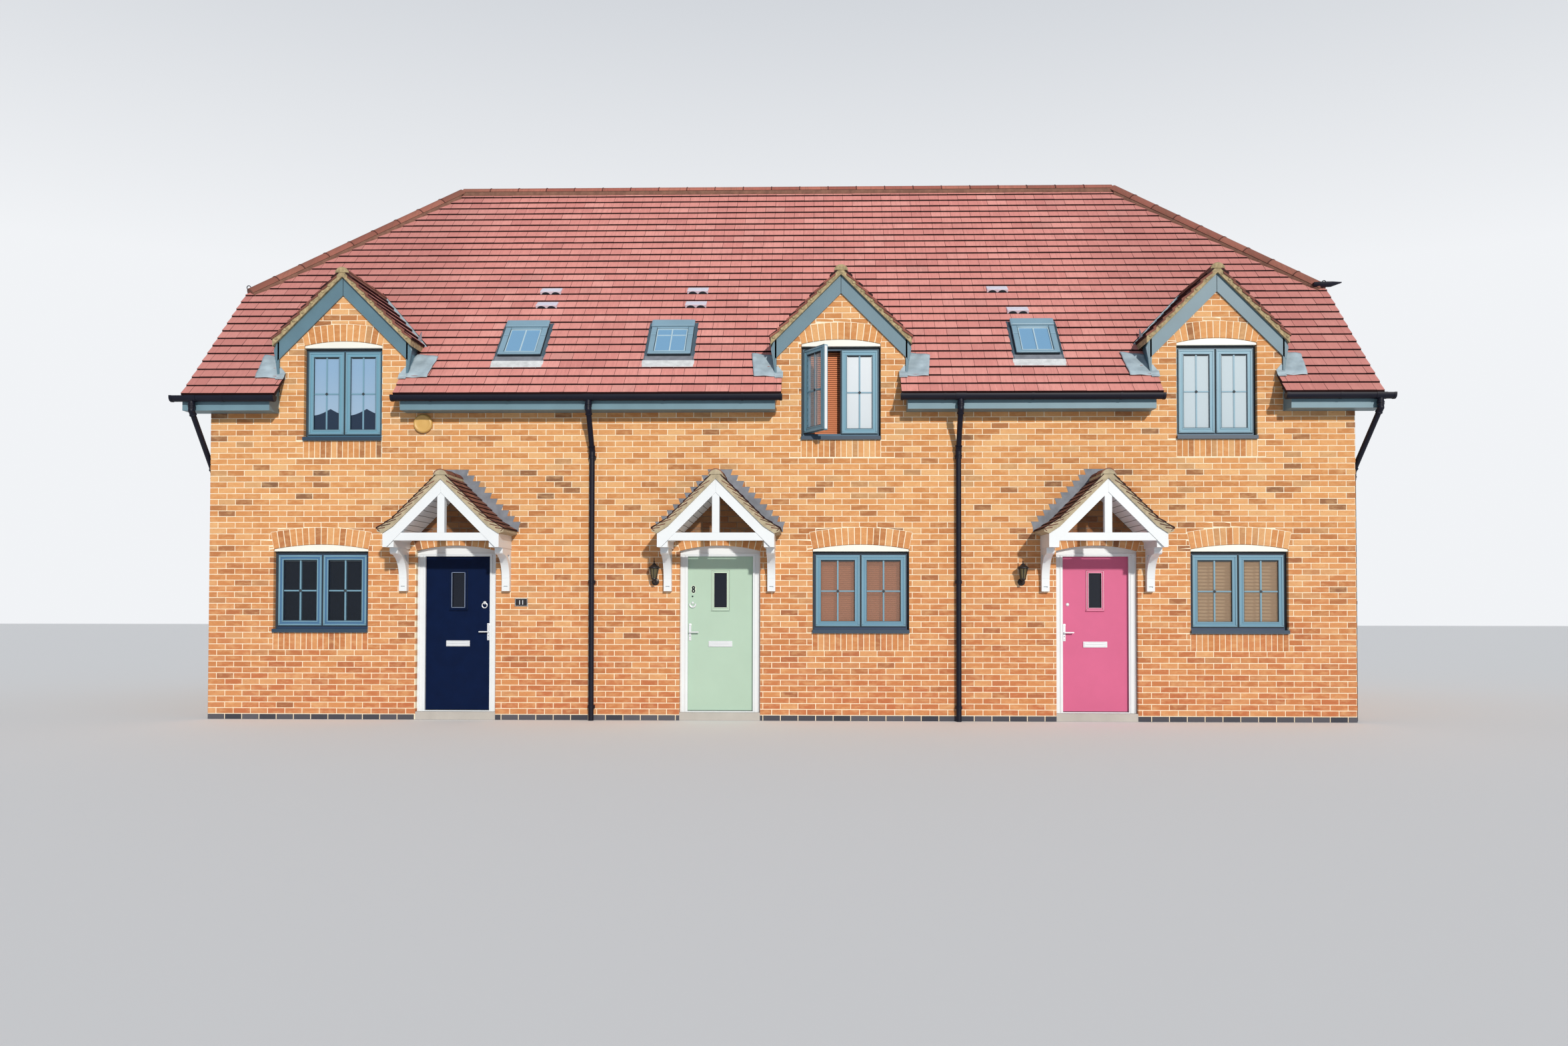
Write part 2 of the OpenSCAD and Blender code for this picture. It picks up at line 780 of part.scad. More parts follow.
module eaves_boxes() {
    color("slategray") front_and_rear()
        for (i = [0 : len(HOUSES)]) {
            x0 = eaves_start(i);
            x1 = eaves_end(i);
            span_x(x0, x1) eaves_outline();
            span_x(x0, x0 + fascia_t) eaves_end_outline();
            span_x(x1 - fascia_t, x1) eaves_end_outline();
        }
    color("slategray") both_ends() span_y(-hip_face_y, hip_face_y) hip_eaves_outline();
}

// Fascia and soffit under a half-hip in (x, z), the right-hand one
module hip_eaves_outline() {
    top = hip_slope_z(hip_face) - tile_v - joint;
    foot = top - barge_d / cos(roof_pitch);
    inside = hip_face - fascia_t;
    polygon([[hip_face, foot], [hip_face, top], [inside, top], [inside, foot + soffit_t],
             [row_half, foot + soffit_t], [row_half, foot]]);
}

// Gutter section, its back on the fascia at x = 0 and its rim at y = 0
module gutter_outline(inset) {
    translate([-gutter_r, -gutter_side]) intersection() {
        circle(gutter_r - inset);
        translate([-gutter_r, -gutter_r]) square([2 * gutter_r, gutter_r]);
    }
    translate([-2 * gutter_r + inset, -gutter_side]) square([2 * (gutter_r - inset), gutter_side]);
}

// Length of gutter along X with stopped ends, on a fascia at face_y with its rim at rim_z,
// and a round outlet under it at each place in outlets
module gutter(x0, x1, face_y, rim_z, outlets) {
    difference() {
        union() {
            span_x(x0, x1) translate([face_y, rim_z]) gutter_outline(0);
            for (x = outlets)
                translate([x, face_y - gutter_r, rim_z - gutter_side - gutter_r - outlet_l])
                    cylinder(r = pipe_r + gutter_t, h = outlet_l + gutter_r / 2);
        }
        span_x(x0 + gutter_t, x1 - gutter_t) translate([face_y, rim_z]) {
            gutter_outline(gutter_t);
            translate([-2 * gutter_r + gutter_t, -1]) square([2 * (gutter_r - gutter_t), cut]);
        }
    }
}

// Where the downpipes leave the gutters, along the row
outlet_x = [-verge_x + outlet_in[0], party_x(0) + pipe_off[0], party_x(1) + pipe_off[1],
            verge_x - outlet_in[1]];

module gutters() {
    // The stop ends stand just clear of the tiles that reach in front of a gablet
    past = eaves_gap + eaves_lap + 2 * gutter_t;
    color("dimgray") {
        front_and_rear() for (i = [0 : len(HOUSES)]) {
            x0 = eaves_start(i) - (i == 0 ? verge_stop : past);
            x1 = eaves_end(i) + (i == len(HOUSES) ? verge_stop : past);
            gutter(x0, x1, front_y - fascia_out, eave_z - gutter_drop, [outlet_x[i]]);
        }
        both_ends() rotate([0, 0, 90])
            gutter(-hip_y, hip_y, -hip_face, hip_eave_z - tile_v - joint, []);
    }
}

// Downpipe: a short drop from the outlet at top_x, a swan-neck to foot and a straight fall
module downpipe(top_x, foot) {
    a = [top_x, front_y - fascia_out - gutter_r,
         eave_z - gutter_drop - gutter_side - gutter_r - outlet_l - elbow_r];
    d = foot - a;
    translate(a) cylinder(r = pipe_r, h = elbow_r);
    translate(a) sphere(elbow_r);
    translate(a) rotate([0, acos(d[2] / norm(d)), atan2(d[1], d[0])]) cylinder(r = pipe_r, h = norm(d));
    translate(foot) sphere(elbow_r);
    translate([foot[0], foot[1], 0]) cylinder(r = pipe_r, h = foot[2]);
}

// Clips that hold a straight fall of height h at the origin to the wall behind it
module pipe_clips(h) {
    for (z = [h - clip_h * 1.5 : -clip_step : clip_h])
        block(-elbow_r, elbow_r, 0, pipe_out, z - clip_h, z);
}

module downpipes() {
    y = front_y - pipe_out;
    side_x = row_half + pipe_out;
    side_y = front_y + pipe_corner;
    color("dimgray") front_and_rear() {
        for (i = [1, 2]) {
            downpipe(outlet_x[i], [outlet_x[i], y, neck_z]);
            translate([outlet_x[i], y, 0]) pipe_clips(neck_z);
        }
        for (end = [0, 1]) {
            x = end == 0 ? -side_x : side_x;
            downpipe(outlet_x[end * len(HOUSES)], [x, side_y, end_neck_z]);
            translate([x, side_y, 0]) rotate([0, 0, end == 0 ? -90 : 90]) pipe_clips(end_neck_z);
        }
    }
}

// Windows
// Frame with a mullion; its two casements are closed unless open names one to leave out
module window_frame(w, z, h, open) {
    y = front_y + reveal;
    light = (w - 2 * frame_w - mullion_w) / 2;
    span_y(y, y + frame_t) difference() {
        translate([-w / 2, z]) square([w, h]);
        for (side = [-1, 1])
            translate([side * (light + mullion_w) / 2 - light / 2, z + frame_w])
                square([light, h - 2 * frame_w]);
    }
    for (side = [-1, 1])
        if (side != open)
            translate([side * (light + mullion_w) / 2, 0, z + frame_w]) casement(light, h - 2 * frame_w);
}

// Casement ring, standing on z = 0 and centred on x = 0
module casement(w, h) {
    y = front_y + reveal - sash_out;
    span_y(y, y + sash_t) difference() {
        translate([-w / 2, 0]) square([w, h]);
        translate([-w / 2 + sash_w, sash_w]) square([w - 2 * sash_w, h - 2 * sash_w]);
    }
}

module casement_pane(w, h) {
    y = front_y + reveal - sash_out + (sash_t - glass_t) / 2;
    block(-w / 2 + sash_w, w / 2 - sash_w, y, y + glass_t, sash_w, h - sash_w);
}

// Moves a casement made in its frame out to where it stands open, turned about its outer edge
module swing_open(w) {
    y = front_y + reveal - sash_out;
    edge = -(w - 2 * frame_w - mullion_w) / 2 - mullion_w / 2;
    translate([edge, y - casement_gap, 0]) rotate([0, 0, -casement_angle]) translate([-edge, -y, 0]) children();
}

module window_frames() {
    color("slategray") front_and_rear_houses() {
        translate([window_x($i), 0, 0]) window_frame(low_w, low_z, low_h, 0);
        translate([gablet_x($i), 0, 0]) window_frame(high_w, high_z, high_h, $i == 1 && !$rear ? -1 : 0);
    }
    color("slategray") translate([gablet_x(1), 0, 0]) swing_open(high_w)
        translate([-(high_light + mullion_w) / 2, 0, high_z + frame_w + casement_gap])
            casement(high_light, open_h);
    // Hinges of the open casement
    color("slategray") for (z = [high_z + high_h / 5, high_z + high_h * 4 / 5 - knuckle_h * 2])
        translate([gablet_x(1) - high_light - mullion_w / 2, front_y + reveal - sash_out / 2, z])
            cylinder(r = sash_out * 0.7, h = knuckle_h * 2);
}

// Runs through every house on the front and on the rear
module front_and_rear_houses() {
    for ($rear = [false, true]) rotate([0, 0, $rear ? 180 : 0]) for ($i = HOUSES) children();
}

high_light = (high_w - 2 * frame_w - mullion_w) / 2;
low_light = (low_w - 2 * frame_w - mullion_w) / 2;
open_h = high_h - 2 * frame_w - 2 * casement_gap;

module window_glass() {
    color("lightblue", 0.5) {
        front_and_rear_houses() for (side = [-1, 1]) {
            translate([window_x($i) + side * (low_light + mullion_w) / 2, 0, low_z + frame_w])
                casement_pane(low_light, low_h - 2 * frame_w);
            if ($rear || $i != 1 || side == 1)
                translate([gablet_x($i) + side * (high_light + mullion_w) / 2, 0, high_z + frame_w])
                    casement_pane(high_light, high_h - 2 * frame_w);
        }
        translate([gablet_x(1), 0, 0]) swing_open(high_w)
            translate([-(high_light + mullion_w) / 2, 0, high_z + frame_w + casement_gap])
                casement_pane(high_light, open_h);
    }
}

module window_sill(w, z) {
    block(-w / 2, w / 2, front_y - sill_out, front_y + reveal + frame_t, z - sill_t, z);
}

module window_sills() {
    color("darkslategray") front_and_rear_houses() {
        translate([window_x($i), 0, 0]) window_sill(low_w, low_z);
        translate([gablet_x($i), 0, 0]) window_sill(high_w, high_z);
    }
}

module window_head(w, z) {
    span_y(front_y + reveal, front_y + reveal + frame_t) arched_outline(w, z, z + head_side, head_rise);
}

module window_heads() {
    color("white") front_and_rear_houses() {
        translate([window_x($i), 0, 0]) window_head(low_w, low_z + low_h);
        translate([gablet_x($i), 0, 0]) window_head(high_w, high_z + high_h);
    }
}

// Doors
// Frame round a leaf, with a stop in front of the leaf's edges, a threshold and an arched head
module door_frame() {
    inner = leaf_w / 2 + leaf_gap;
    foot = floor_z + leaf_foot - sill_gap;
    color("white") {
        span_y(jamb_front, leaf_back) difference() {
            arched_outline(2 * door_half, floor_z, door_spring, door_rise);
            translate([-inner, foot]) square([2 * inner, door_top - foot]);
        }
        span_y(jamb_front, leaf_front - leaf_gap) difference() {
            translate([-inner, foot]) square([2 * inner, door_top - foot]);
            translate([-inner + leaf_gap + stop_w, foot - 1])
                square([2 * (inner - leaf_gap - stop_w), door_top - leaf_gap - stop_w - foot + 1]);
        }
    }
}

// Knuckle with its plate on the face behind it; side is 1 towards +X and -1 towards -X
module knuckle(hand, side, z) {
    x = hand * hinge_x;
    translate([x, hinge_y, z]) cylinder(r = hinge_r, h = knuckle_h - knuckle_gap);
    block(side > 0 ? x : x - hinge_w, side > 0 ? x + hinge_w : x,
          leaf_back, leaf_back + hinge_plate_t, z, z + knuckle_h - knuckle_gap);
}

module door_frames() {
    front_and_rear_houses() translate([door_x($i), 0, 0]) door_frame();
    color("white") for (i = HOUSES) translate([door_x(i), 0, floor_z + leaf_foot]) for (up = hinge_up) {
        knuckle(door_hand[i], door_hand[i], up);
        knuckle(door_hand[i], door_hand[i], up + 2 * knuckle_h);
    }
}

// Leaf with its glazed panel cut through and a moulded surround on both faces
module leaf(colour) {
    foot = floor_z + leaf_foot;
    color(colour) difference() {
        union() {
            block(-leaf_w / 2, leaf_w / 2, leaf_front, leaf_back, foot, foot + leaf_h);
            block(-light_w / 2 - light_trim, light_w / 2 + light_trim,
                  leaf_front - trim_t, leaf_back + trim_t,
                  foot + light_foot - light_trim, foot + light_foot + light_h + light_trim);
        }
        block(-light_w / 2, light_w / 2, leaf_front - cut, leaf_back + cut,
              foot + light_foot, foot + light_foot + light_h);
    }
}

module leaf_glass() {
    foot = floor_z + leaf_foot + light_foot;
    y = (leaf_front + leaf_back) / 2;
    color("lightblue", 0.5)
        block(-light_w / 2, light_w / 2, y - glass_t / 2, y + glass_t / 2, foot, foot + light_h);
}

// Hinge knuckles, and a letter plate and a lever on a long plate on both faces; hand is the
// side the leaf hangs on
module leaf_fittings(hand) {
    foot = floor_z + leaf_foot;
    plate_x = -hand * (leaf_w / 2 - backset);
    lever_z = foot + leaf_h - lever_drop;
    letter_foot = foot + leaf_h - letter_drop - letter_h / 2;
    rose = 42;
    spindle_r = 10;
    lever_r = 9;
    color("silver") for (face = [-1, 1]) {
        y = face < 0 ? leaf_front - trim_t : leaf_back;
        block(-letter_w / 2, letter_w / 2, y, y + trim_t, letter_foot, letter_foot + letter_h);
        block(plate_x - lever_plate_w / 2, plate_x + lever_plate_w / 2, y, y + trim_t,
              lever_z - lever_plate_h / 2, lever_z + lever_plate_h / 2);
        ly = face < 0 ? y - rose : y + trim_t;
        translate([plate_x, ly, lever_z]) rotate([-90, 0, 0]) cylinder(r = spindle_r, h = rose);
        translate([plate_x, face < 0 ? ly : ly + rose, lever_z]) rotate([0, hand * 90, 0])
            cylinder(r = lever_r, h = lever_l);
    }
    color("silver") for (up = hinge_up) knuckle(hand, -hand, foot + up + knuckle_h);
}

module left_door() { translate([door_x(0), 0, 0]) leaf("midnightblue"); }
module left_door_glass() { translate([door_x(0), 0, 0]) leaf_glass(); }
module left_door_fittings() { translate([door_x(0), 0, 0]) leaf_fittings(door_hand[0]); }
module middle_door() { translate([door_x(1), 0, 0]) leaf("darkseagreen"); }
module middle_door_glass() { translate([door_x(1), 0, 0]) leaf_glass(); }
module middle_door_fittings() { translate([door_x(1), 0, 0]) leaf_fittings(door_hand[1]); }
module right_door() { translate([door_x(2), 0, 0]) leaf("palevioletred"); }
module right_door_glass() { translate([door_x(2), 0, 0]) leaf_glass(); }
module right_door_fittings() { translate([door_x(2), 0, 0]) leaf_fittings(door_hand[2]); }

// Rear doors are fixed, so each is one solid with its panel left plain
module rear_doors() {
    foot = floor_z + leaf_foot - sill_gap;
    color("white") rotate([0, 0, 180]) for (i = HOUSES)
        translate([door_x(i), 0, 0])
            block(-leaf_w / 2 - leaf_gap, leaf_w / 2 + leaf_gap, leaf_front, leaf_back, foot, door_top);
}

// Porches
// Height of a porch's tiles, or of a line drop below them, at a distance from its middle
function porch_line(x, drop) =
    porch_z - drop - min(x, flare_half) * porch_t - max(x - flare_half, 0) * flare_t;

// Right half of the outline of the porch tiles
module porch_tile_outline() {
    polygon([[0, porch_line(0, 0)], [flare_half, porch_line(flare_half, 0)],
             [porch_half, porch_line(porch_half, 0)], [porch_half, porch_line(porch_half, porch_edge)],
             [truss_half, porch_line(truss_half, porch_v)], [flare_half, porch_line(flare_half, porch_v)],
             [0, porch_line(0, porch_v)]]);
}

// Both halves of something drawn for the right half
module left_and_right() {
    children();
    mirror([1, 0, 0]) children();
}

// Everything below the line of the porch tiles, or of one drop below them
module below_porch_line(drop) {
    x = lead_top + lead_steps * course_h;
    polygon([[0, porch_z - 2 * x], [0, porch_line(0, drop)], [flare_half, porch_line(flare_half, drop)],
             [x, porch_line(x, drop)], [x, porch_z - 2 * x]]);
}

module porch_roofs() {
    color("brown") for (i = HOUSES) translate([door_x(i), 0, 0]) {
        span_y(porch_front, front_y) left_and_right() porch_tile_outline();
        difference() {
            translate([0, porch_front, porch_z - porch_cap_r + cap_rise / 4]) rotate([-90, 0, 0])
                cylinder(r = porch_cap_r, h = porch_out);
            span_y(porch_front - cut, front_y + cut) left_and_right() below_porch_line(joint);
        }
    }
}

// Boxed underside of a porch roof: sloping soffits and a beam along each side
module porch_soffits() {
    z = porch_v + joint;
    low = porch_v + porch_barge_v;
    side = truss_half - 5;
    inner = side - beam_w;
    color("white") for (i = HOUSES) translate([door_x(i), 0, 0])
        span_y(porch_front + porch_barge_t + cut + joint, front_y) left_and_right()
            polygon([[0, porch_line(0, z)], [flare_half, porch_line(flare_half, z)],
                     [side, porch_line(side, z)], [side, porch_foot_z], [inner, porch_foot_z],
                     [inner, porch_line(inner, low)], [0, porch_line(0, low)]]);
}

// Bargeboard on one side of a porch, flared and cut plumb and level at its foot
module porch_bargeboard() {
    z = porch_v + joint;
    low = porch_v + porch_barge_v;
    heel = (porch_line(0, low) - porch_foot_z) / porch_t;
    polygon([[joint, porch_line(joint, z)], [flare_half, porch_line(flare_half, z)],
             [truss_half, porch_line(truss_half, z)], [truss_half, porch_foot_z], [heel, porch_foot_z],
             [joint, porch_line(joint, low)]]);
}

// Tie beam or king post: what lies between the bargeboards, from a low to a high height
module between_boards(half, low, high) {
    top = porch_line(0, porch_v + porch_barge_v + 2 * joint);
    intersection() {
        translate([-half, low]) square([2 * half, high - low]);
        polygon([[0, top], [truss_half, top - truss_half * porch_t],
                 [-truss_half, top - truss_half * porch_t]]);
    }
}

// Bargeboards, tie beam and king post in front of each porch
module porch_frames() {
    front = porch_front + cut;
    color("white") for (i = HOUSES) translate([door_x(i), 0, 0]) {
        span_y(front, front + porch_barge_t) porch_bargeboard();
        mirror([1, 0, 0]) span_y(front, front + porch_barge_t) porch_bargeboard();
        span_y(front + timber_in, front + timber_in + timber_w) {
            between_boards(truss_half, tie_z, tie_z + tie_d);
            between_boards(timber_w / 2, tie_z + tie_d + joint, porch_z);
        }
    }
}

// Bracket outline in (y, z): a post on the wall, a moulded arm and a curved brace between them
module bracket_outline() {
    top = porch_foot_z - joint;
    rise = top - bracket_z;
    translate([front_y - post_d, bracket_z]) square([post_d, rise]);
    translate([front_y - bracket_out + arm_h / 2, top - arm_h]) square([bracket_out - arm_h / 2, arm_h]);
    translate([front_y - bracket_out, top - arm_h / 2]) square([arm_h, arm_h / 2]);
    translate([front_y - bracket_out + arm_h / 2, top - arm_h / 2]) circle(arm_h / 2);
    intersection() {
        translate([front_y - bracket_out + arm_h / 2, bracket_z]) square([bracket_out - arm_h / 2, rise]);
        translate([front_y - bracket_out + arm_h / 2, top - arm_h - brace_r + brace_w]) difference() {
            circle(brace_r, $fn = 96);
            circle(brace_r - brace_w, $fn = 96);
        }
        translate([front_y - bracket_out, top - arm_h - brace_r + brace_w]) square([bracket_out, brace_r]);
    }
}

module porch_brackets() {
    slot_w = 50;
    slot_h = 14;
    slot_z = bracket_z + slot_w;
    color("white") for (i = HOUSES) translate([door_x(i), 0, 0]) for (side = [-1, 1]) {
        x = side * (truss_half - 10 - bracket_w / 2);
        difference() {
            span_x(x - bracket_w / 2, x + bracket_w / 2) bracket_outline();
            block(x - slot_w / 2, x + slot_w / 2, front_y - post_d - cut, front_y - post_d + cut,
                  slot_z, slot_z + slot_h);
        }
    }
}

// Right half of the lead on the wall over a porch roof, stepped to the brick courses
module stepped_lead() {
    top = ceil((porch_z + course_h / 2) / course_h) * course_h;
    last = lead_top + (lead_steps - 1) * course_h - lead_back;
    polygon(concat(
        [[0, top]],
        [for (k = [0 : lead_steps - 1]) for (foot = [0, 1])
            [lead_top + k * course_h - foot * lead_back, top - (k + foot) * course_h]],
        [[last, porch_z - last], [0, porch_z - last]]));
}

module porch_flashings() {
    color("gray") for (i = HOUSES) translate([door_x(i), 0, 0])
        span_y(front_y - lead_t, front_y) difference() {
            left_and_right() stepped_lead();
            left_and_right() below_porch_line(-joint);
            translate([0, porch_z - porch_cap_r + cap_rise / 4]) circle(porch_cap_r + joint);
        }
}

// Skylights and vents
module skylight_frames() {
    color("dimgray") for (i = HOUSES) on_slope(skylight_x(i), skylight_foot)
        translate([-skylight_w / 2, 0, 0]) difference() {
            cube([skylight_w, skylight_l, skylight_up]);
            translate([skylight_frame, skylight_frame, -cut])
                cube([skylight_w - 2 * skylight_frame, skylight_l - 2 * skylight_frame,
                      skylight_up + 2 * cut]);
        }
}

module skylight_glass() {
    color("lightblue", 0.5) for (i = HOUSES) on_slope(skylight_x(i), skylight_foot)
        translate([-skylight_w / 2 + skylight_frame, skylight_frame, skylight_up - glass_t * 1.6])
            cube([skylight_w - 2 * skylight_frame, skylight_l - 2 * skylight_frame, glass_t]);
}

// Two half-round hoods side by side on a flat tile
module roof_vents() {
    base_t = 12;
    color("wheat") for (i = HOUSES) for (up = vent_up) on_slope(vent_x(i), up) {
        translate([-vent_w / 2, 0, 0]) cube([vent_w, vent_l, base_t]);
        for (side = [-1, 1]) translate([side * vent_w / 4, 0, 0]) intersection() {
            rotate([-90, 0, 0]) cylinder(r = vent_w / 4 - base_t / 2, h = vent_l);
            translate([-vent_w, 0, 0]) cube([2 * vent_w, vent_l, vent_w]);
        }
    }
}

// Wall fittings
// Lamp on an arm from a round plate: tapered glazed body, conical cap and a finial
module coach_lamp() {
    out = 130;
    y = front_y - out;
    foot = lamp_z - lamp_h / 2;
    cap_h = 60;
    arm_r = 7;
    arm_drop = 28;
    arm_z = foot - arm_drop;
    plate_t = 2 * arm_r;
    translate([0, y, 0]) {
        translate([0, 0, foot]) cylinder(d1 = lamp_w * 0.6, d2 = lamp_w, h = lamp_h);
        translate([0, 0, foot + lamp_h]) cylinder(d1 = lamp_w * 1.2, d2 = lamp_w / 4, h = cap_h);
        translate([0, 0, foot + lamp_h + cap_h]) cylinder(d = lamp_w / 8, h = cap_h);
        translate([0, 0, arm_z - arm_r]) cylinder(d1 = lamp_w / 4, d2 = lamp_w * 0.6, h = arm_drop + arm_r);
    }
    translate([0, y, arm_z]) rotate([-90, 0, 0]) cylinder(r = arm_r, h = out);
    translate([0, front_y - plate_t, arm_z]) rotate([-90, 0, 0]) cylinder(r = lamp_w * 0.4, h = plate_t);
}

module coach_lamps() {
    color("black") for (i = [1, 2]) translate([door_x(i) - lamp_off[i - 1], 0, 0]) coach_lamp();
}

module alarm_box() {
    color("gold") translate([house_x(0) + alarm_off, front_y - alarm_t, alarm_z]) rotate([-90, 0, 0])
        cylinder(r = alarm_r, h = alarm_t);
}

module number_plaque() {
    plaque_t = 8;
    color("black") translate([house_x(0) + plaque_off, front_y, plaque_z])
        block(-plaque_w / 2, plaque_w / 2, -plaque_t, 0, -plaque_h / 2, plaque_h / 2);
}

ground_slab();
first_floor();
front_wall();
door_lintels();
rear_wall();
gable_walls();
party_walls();
front_roof();
rear_roof();
half_hips();
ridge_tiles();
hip_tiles();
gablet_roofs();
gablet_cheeks();
bargeboards();
lead_saddles();
eaves_boxes();
gutters();
downpipes();
window_frames();
window_glass();
window_sills();
window_heads();
door_frames();
rear_doors();
porch_roofs();
porch_soffits();
porch_frames();
porch_brackets();
porch_flashings();
skylight_frames();
skylight_glass();
roof_vents();
coach_lamps();
alarm_box();
number_plaque();
left_door();
left_door_glass();
left_door_fittings();
middle_door();
middle_door_glass();
middle_door_fittings();
right_door();
right_door_glass();
right_door_fittings();
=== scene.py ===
import math
import random

import bpy
from mathutils import Matrix, Vector


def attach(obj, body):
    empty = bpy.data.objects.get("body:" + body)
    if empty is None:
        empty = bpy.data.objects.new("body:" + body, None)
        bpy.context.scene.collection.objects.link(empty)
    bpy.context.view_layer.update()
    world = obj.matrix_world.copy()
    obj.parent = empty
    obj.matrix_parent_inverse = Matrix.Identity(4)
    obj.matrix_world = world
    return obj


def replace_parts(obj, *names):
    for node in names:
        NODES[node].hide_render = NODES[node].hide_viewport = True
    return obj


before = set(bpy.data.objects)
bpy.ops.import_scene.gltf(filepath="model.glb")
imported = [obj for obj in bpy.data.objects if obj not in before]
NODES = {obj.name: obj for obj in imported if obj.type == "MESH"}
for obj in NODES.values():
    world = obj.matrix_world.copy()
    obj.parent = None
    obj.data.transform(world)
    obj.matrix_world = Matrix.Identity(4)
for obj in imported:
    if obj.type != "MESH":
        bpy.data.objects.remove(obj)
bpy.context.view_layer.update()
random.seed(7)

# ---------------------------------------------------------------- sizes, as in the CAD source, in metres
HOUSE_W, HOUSE_D = 4.910, 7.200
ROW = 1.5 * HOUSE_W
FRONT = -HOUSE_D / 2
PLATE, ROOF_V, EAVE_OVER = 4.235, 0.226, 0.300
RIDGE = PLATE + HOUSE_D / 2 + ROOF_V
EAVE_Y = FRONT - EAVE_OVER
EAVE_Z = RIDGE + EAVE_Y
VERGE_X, HIP_X, RIDGE_X = ROW + 0.240, ROW + 0.180, ROW - 2.210
HIP_DROP = 2.141
HIP_T = HIP_DROP / (HIP_X - RIDGE_X)
VERGE_Y = (VERGE_X - RIDGE_X) * HIP_T
HOUSE_X = [-HOUSE_W, 0.0, HOUSE_W]


def in_houses(*offsets):
    """One place in each house, measured from the house's middle."""
    return [house + offset for house, offset in zip(HOUSE_X, offsets)]


GABLET_X = in_houses(-0.730, 0.825, 0.715)
WINDOW_X = in_houses(-0.998, 1.080, 0.986)
DOOR_X = in_houses(0.765, -0.730, -0.820)
SKY_X = in_houses(1.500, -1.430, -1.510)
VENTS = [(-3.250, 13), (-3.250, 11), (-1.170, 13), (-1.170, 11), (3.034, 13), (3.257, 10)]
SKY_W, SKY_L, SKY_FOOT = 0.560, 0.890, 0.705
GAB_HALF, GAB_EDGE, GAB_EAVES, GAB_V, GAB_OVER = 0.830, 0.905, 4.915, 0.090, 0.070
GAB_Z = GAB_EAVES + GAB_EDGE
GAB_FACE = FRONT - GAB_OVER - 0.012            # front edge of the gablets' tiles
FOOT_Y, APEX_Y = GAB_EAVES - RIDGE, GAB_Z - RIDGE      # where their eaves and ridges meet the main slope
LOW, HIGH = (1.240, 1.165, 1.000), (1.025, 3.650, 1.160)    # windows: width, foot and height
HEAD_SIDE, HEAD_RISE, SILL_T = 0.035, 0.060, 0.045
REVEAL, FRAME_W, MULLION, SASH, SASH_OUT, SASH_T = 0.070, 0.038, 0.014, 0.072, 0.012, 0.056
DOOR_HALF, DOOR_SPRING, DOOR_RISE = 0.520, 2.176, 0.070
LEAF_W, LEAF_H, LEAF_T, LEAF_Z = 0.866, 1.999, 0.044, 0.120
LEAF_BACK = FRONT + REVEAL + 0.090
LEAF_FRONT = LEAF_BACK - LEAF_T
PORCH_OUT, PORCH_HALF, PORCH_Z, FLARE_HALF = 0.670, 0.790, 3.147, 0.590
# The wall between these heights in the porch gables gets painted shade
PORCH_DARK = 2.27, 3.10                        # foot and peak of the sheltered wall in the porch gables
FLARE_T = math.tan(math.radians(33))
CASEMENT_ANGLE = 57
COURSE, STRETCHER, JOINT, SOLDIER = 0.075, 0.225, 0.010, 0.215
PROUD, RETURN, BRICK_EDGE = 0.004, -0.066, 0.0018      # of the bricks: relief, depth in a reveal, bevel
C45 = math.sqrt(0.5)
BARE = (0, 0, 0, 0)
BOTH = [(1, Matrix.Rotation(0, 4, "Z")), (-1, Matrix.Rotation(math.pi, 4, "Z"))]     # front and rear
GABLETS = [(rear, gx) for rear in (1, -1) for gx in GABLET_X]
CORNERS = [(sx, sy) for sx in (-1, 1) for sy in (-1, 1)]


# ---------------------------------------------------------------- polygons and planes
def clip(poly, a, b, keep_left=True):
    """The part of a convex polygon on the left (or right) of the line from a to b."""
    out = []
    dx, dy = b[0] - a[0], b[1] - a[1]
    sign = 1 if keep_left else -1
    n = len(poly)
    side = [sign * (dx * (p[1] - a[1]) - dy * (p[0] - a[0])) for p in poly]
    for i in range(n):
        p, q, s, t = poly[i], poly[(i + 1) % n], side[i], side[(i + 1) % n]
        if s >= 0:
            out.append(p)
        if (s > 0 > t) or (s < 0 < t):
            k = s / (s - t)
            out.append((p[0] + k * (q[0] - p[0]), p[1] + k * (q[1] - p[1])))
    return out


def area(poly):
    return 0.5 * sum(p[0] * q[1] - q[0] * p[1] for p, q in zip(poly, poly[1:] + poly[:1]))


def box_of(poly):
    xs, ys = [p[0] for p in poly], [p[1] for p in poly]
    return min(xs), min(ys), max(xs), max(ys)


def intersect(poly, region):
    for a, b in zip(region, region[1:] + region[:1]):
        poly = clip(poly, a, b)
        if len(poly) < 3:
            return []
    return poly


def cut_out(polys, holes):
    """Convex pieces of polys outside the convex holes."""
    for hole in holes:
        x0, y0, x1, y1 = box_of(hole)
        out = []
        for poly in polys:
            a0, b0, a1, b1 = box_of(poly)
            if a1 <= x0 or a0 >= x1 or b1 <= y0 or b0 >= y1:
                out.append(poly)
                continue
            rest = poly
            for a, b in zip(hole, hole[1:] + hole[:1]):
                outside = clip(rest, a, b, False)
                if len(outside) >= 3 and abs(area(outside)) > 1e-6:
                    out.append(outside)
                rest = clip(rest, a, b)
                if len(rest) < 3:
                    break
        polys = out
    return polys


def rect(x0, y0, x1, y1):
    return [(x0, y0), (x1, y0), (x1, y1), (x0, y1)]


def curve(cx, cy, r, n, start=0.0, end=2 * math.pi, tall=None):
    """n + 1 points round an arc or, with tall, part of an ellipse."""
    turns = [start + (end - start) * i / n for i in range(n + 1)]
    return [(cx + r * math.cos(a), cy + (tall or r) * math.sin(a)) for a in turns]


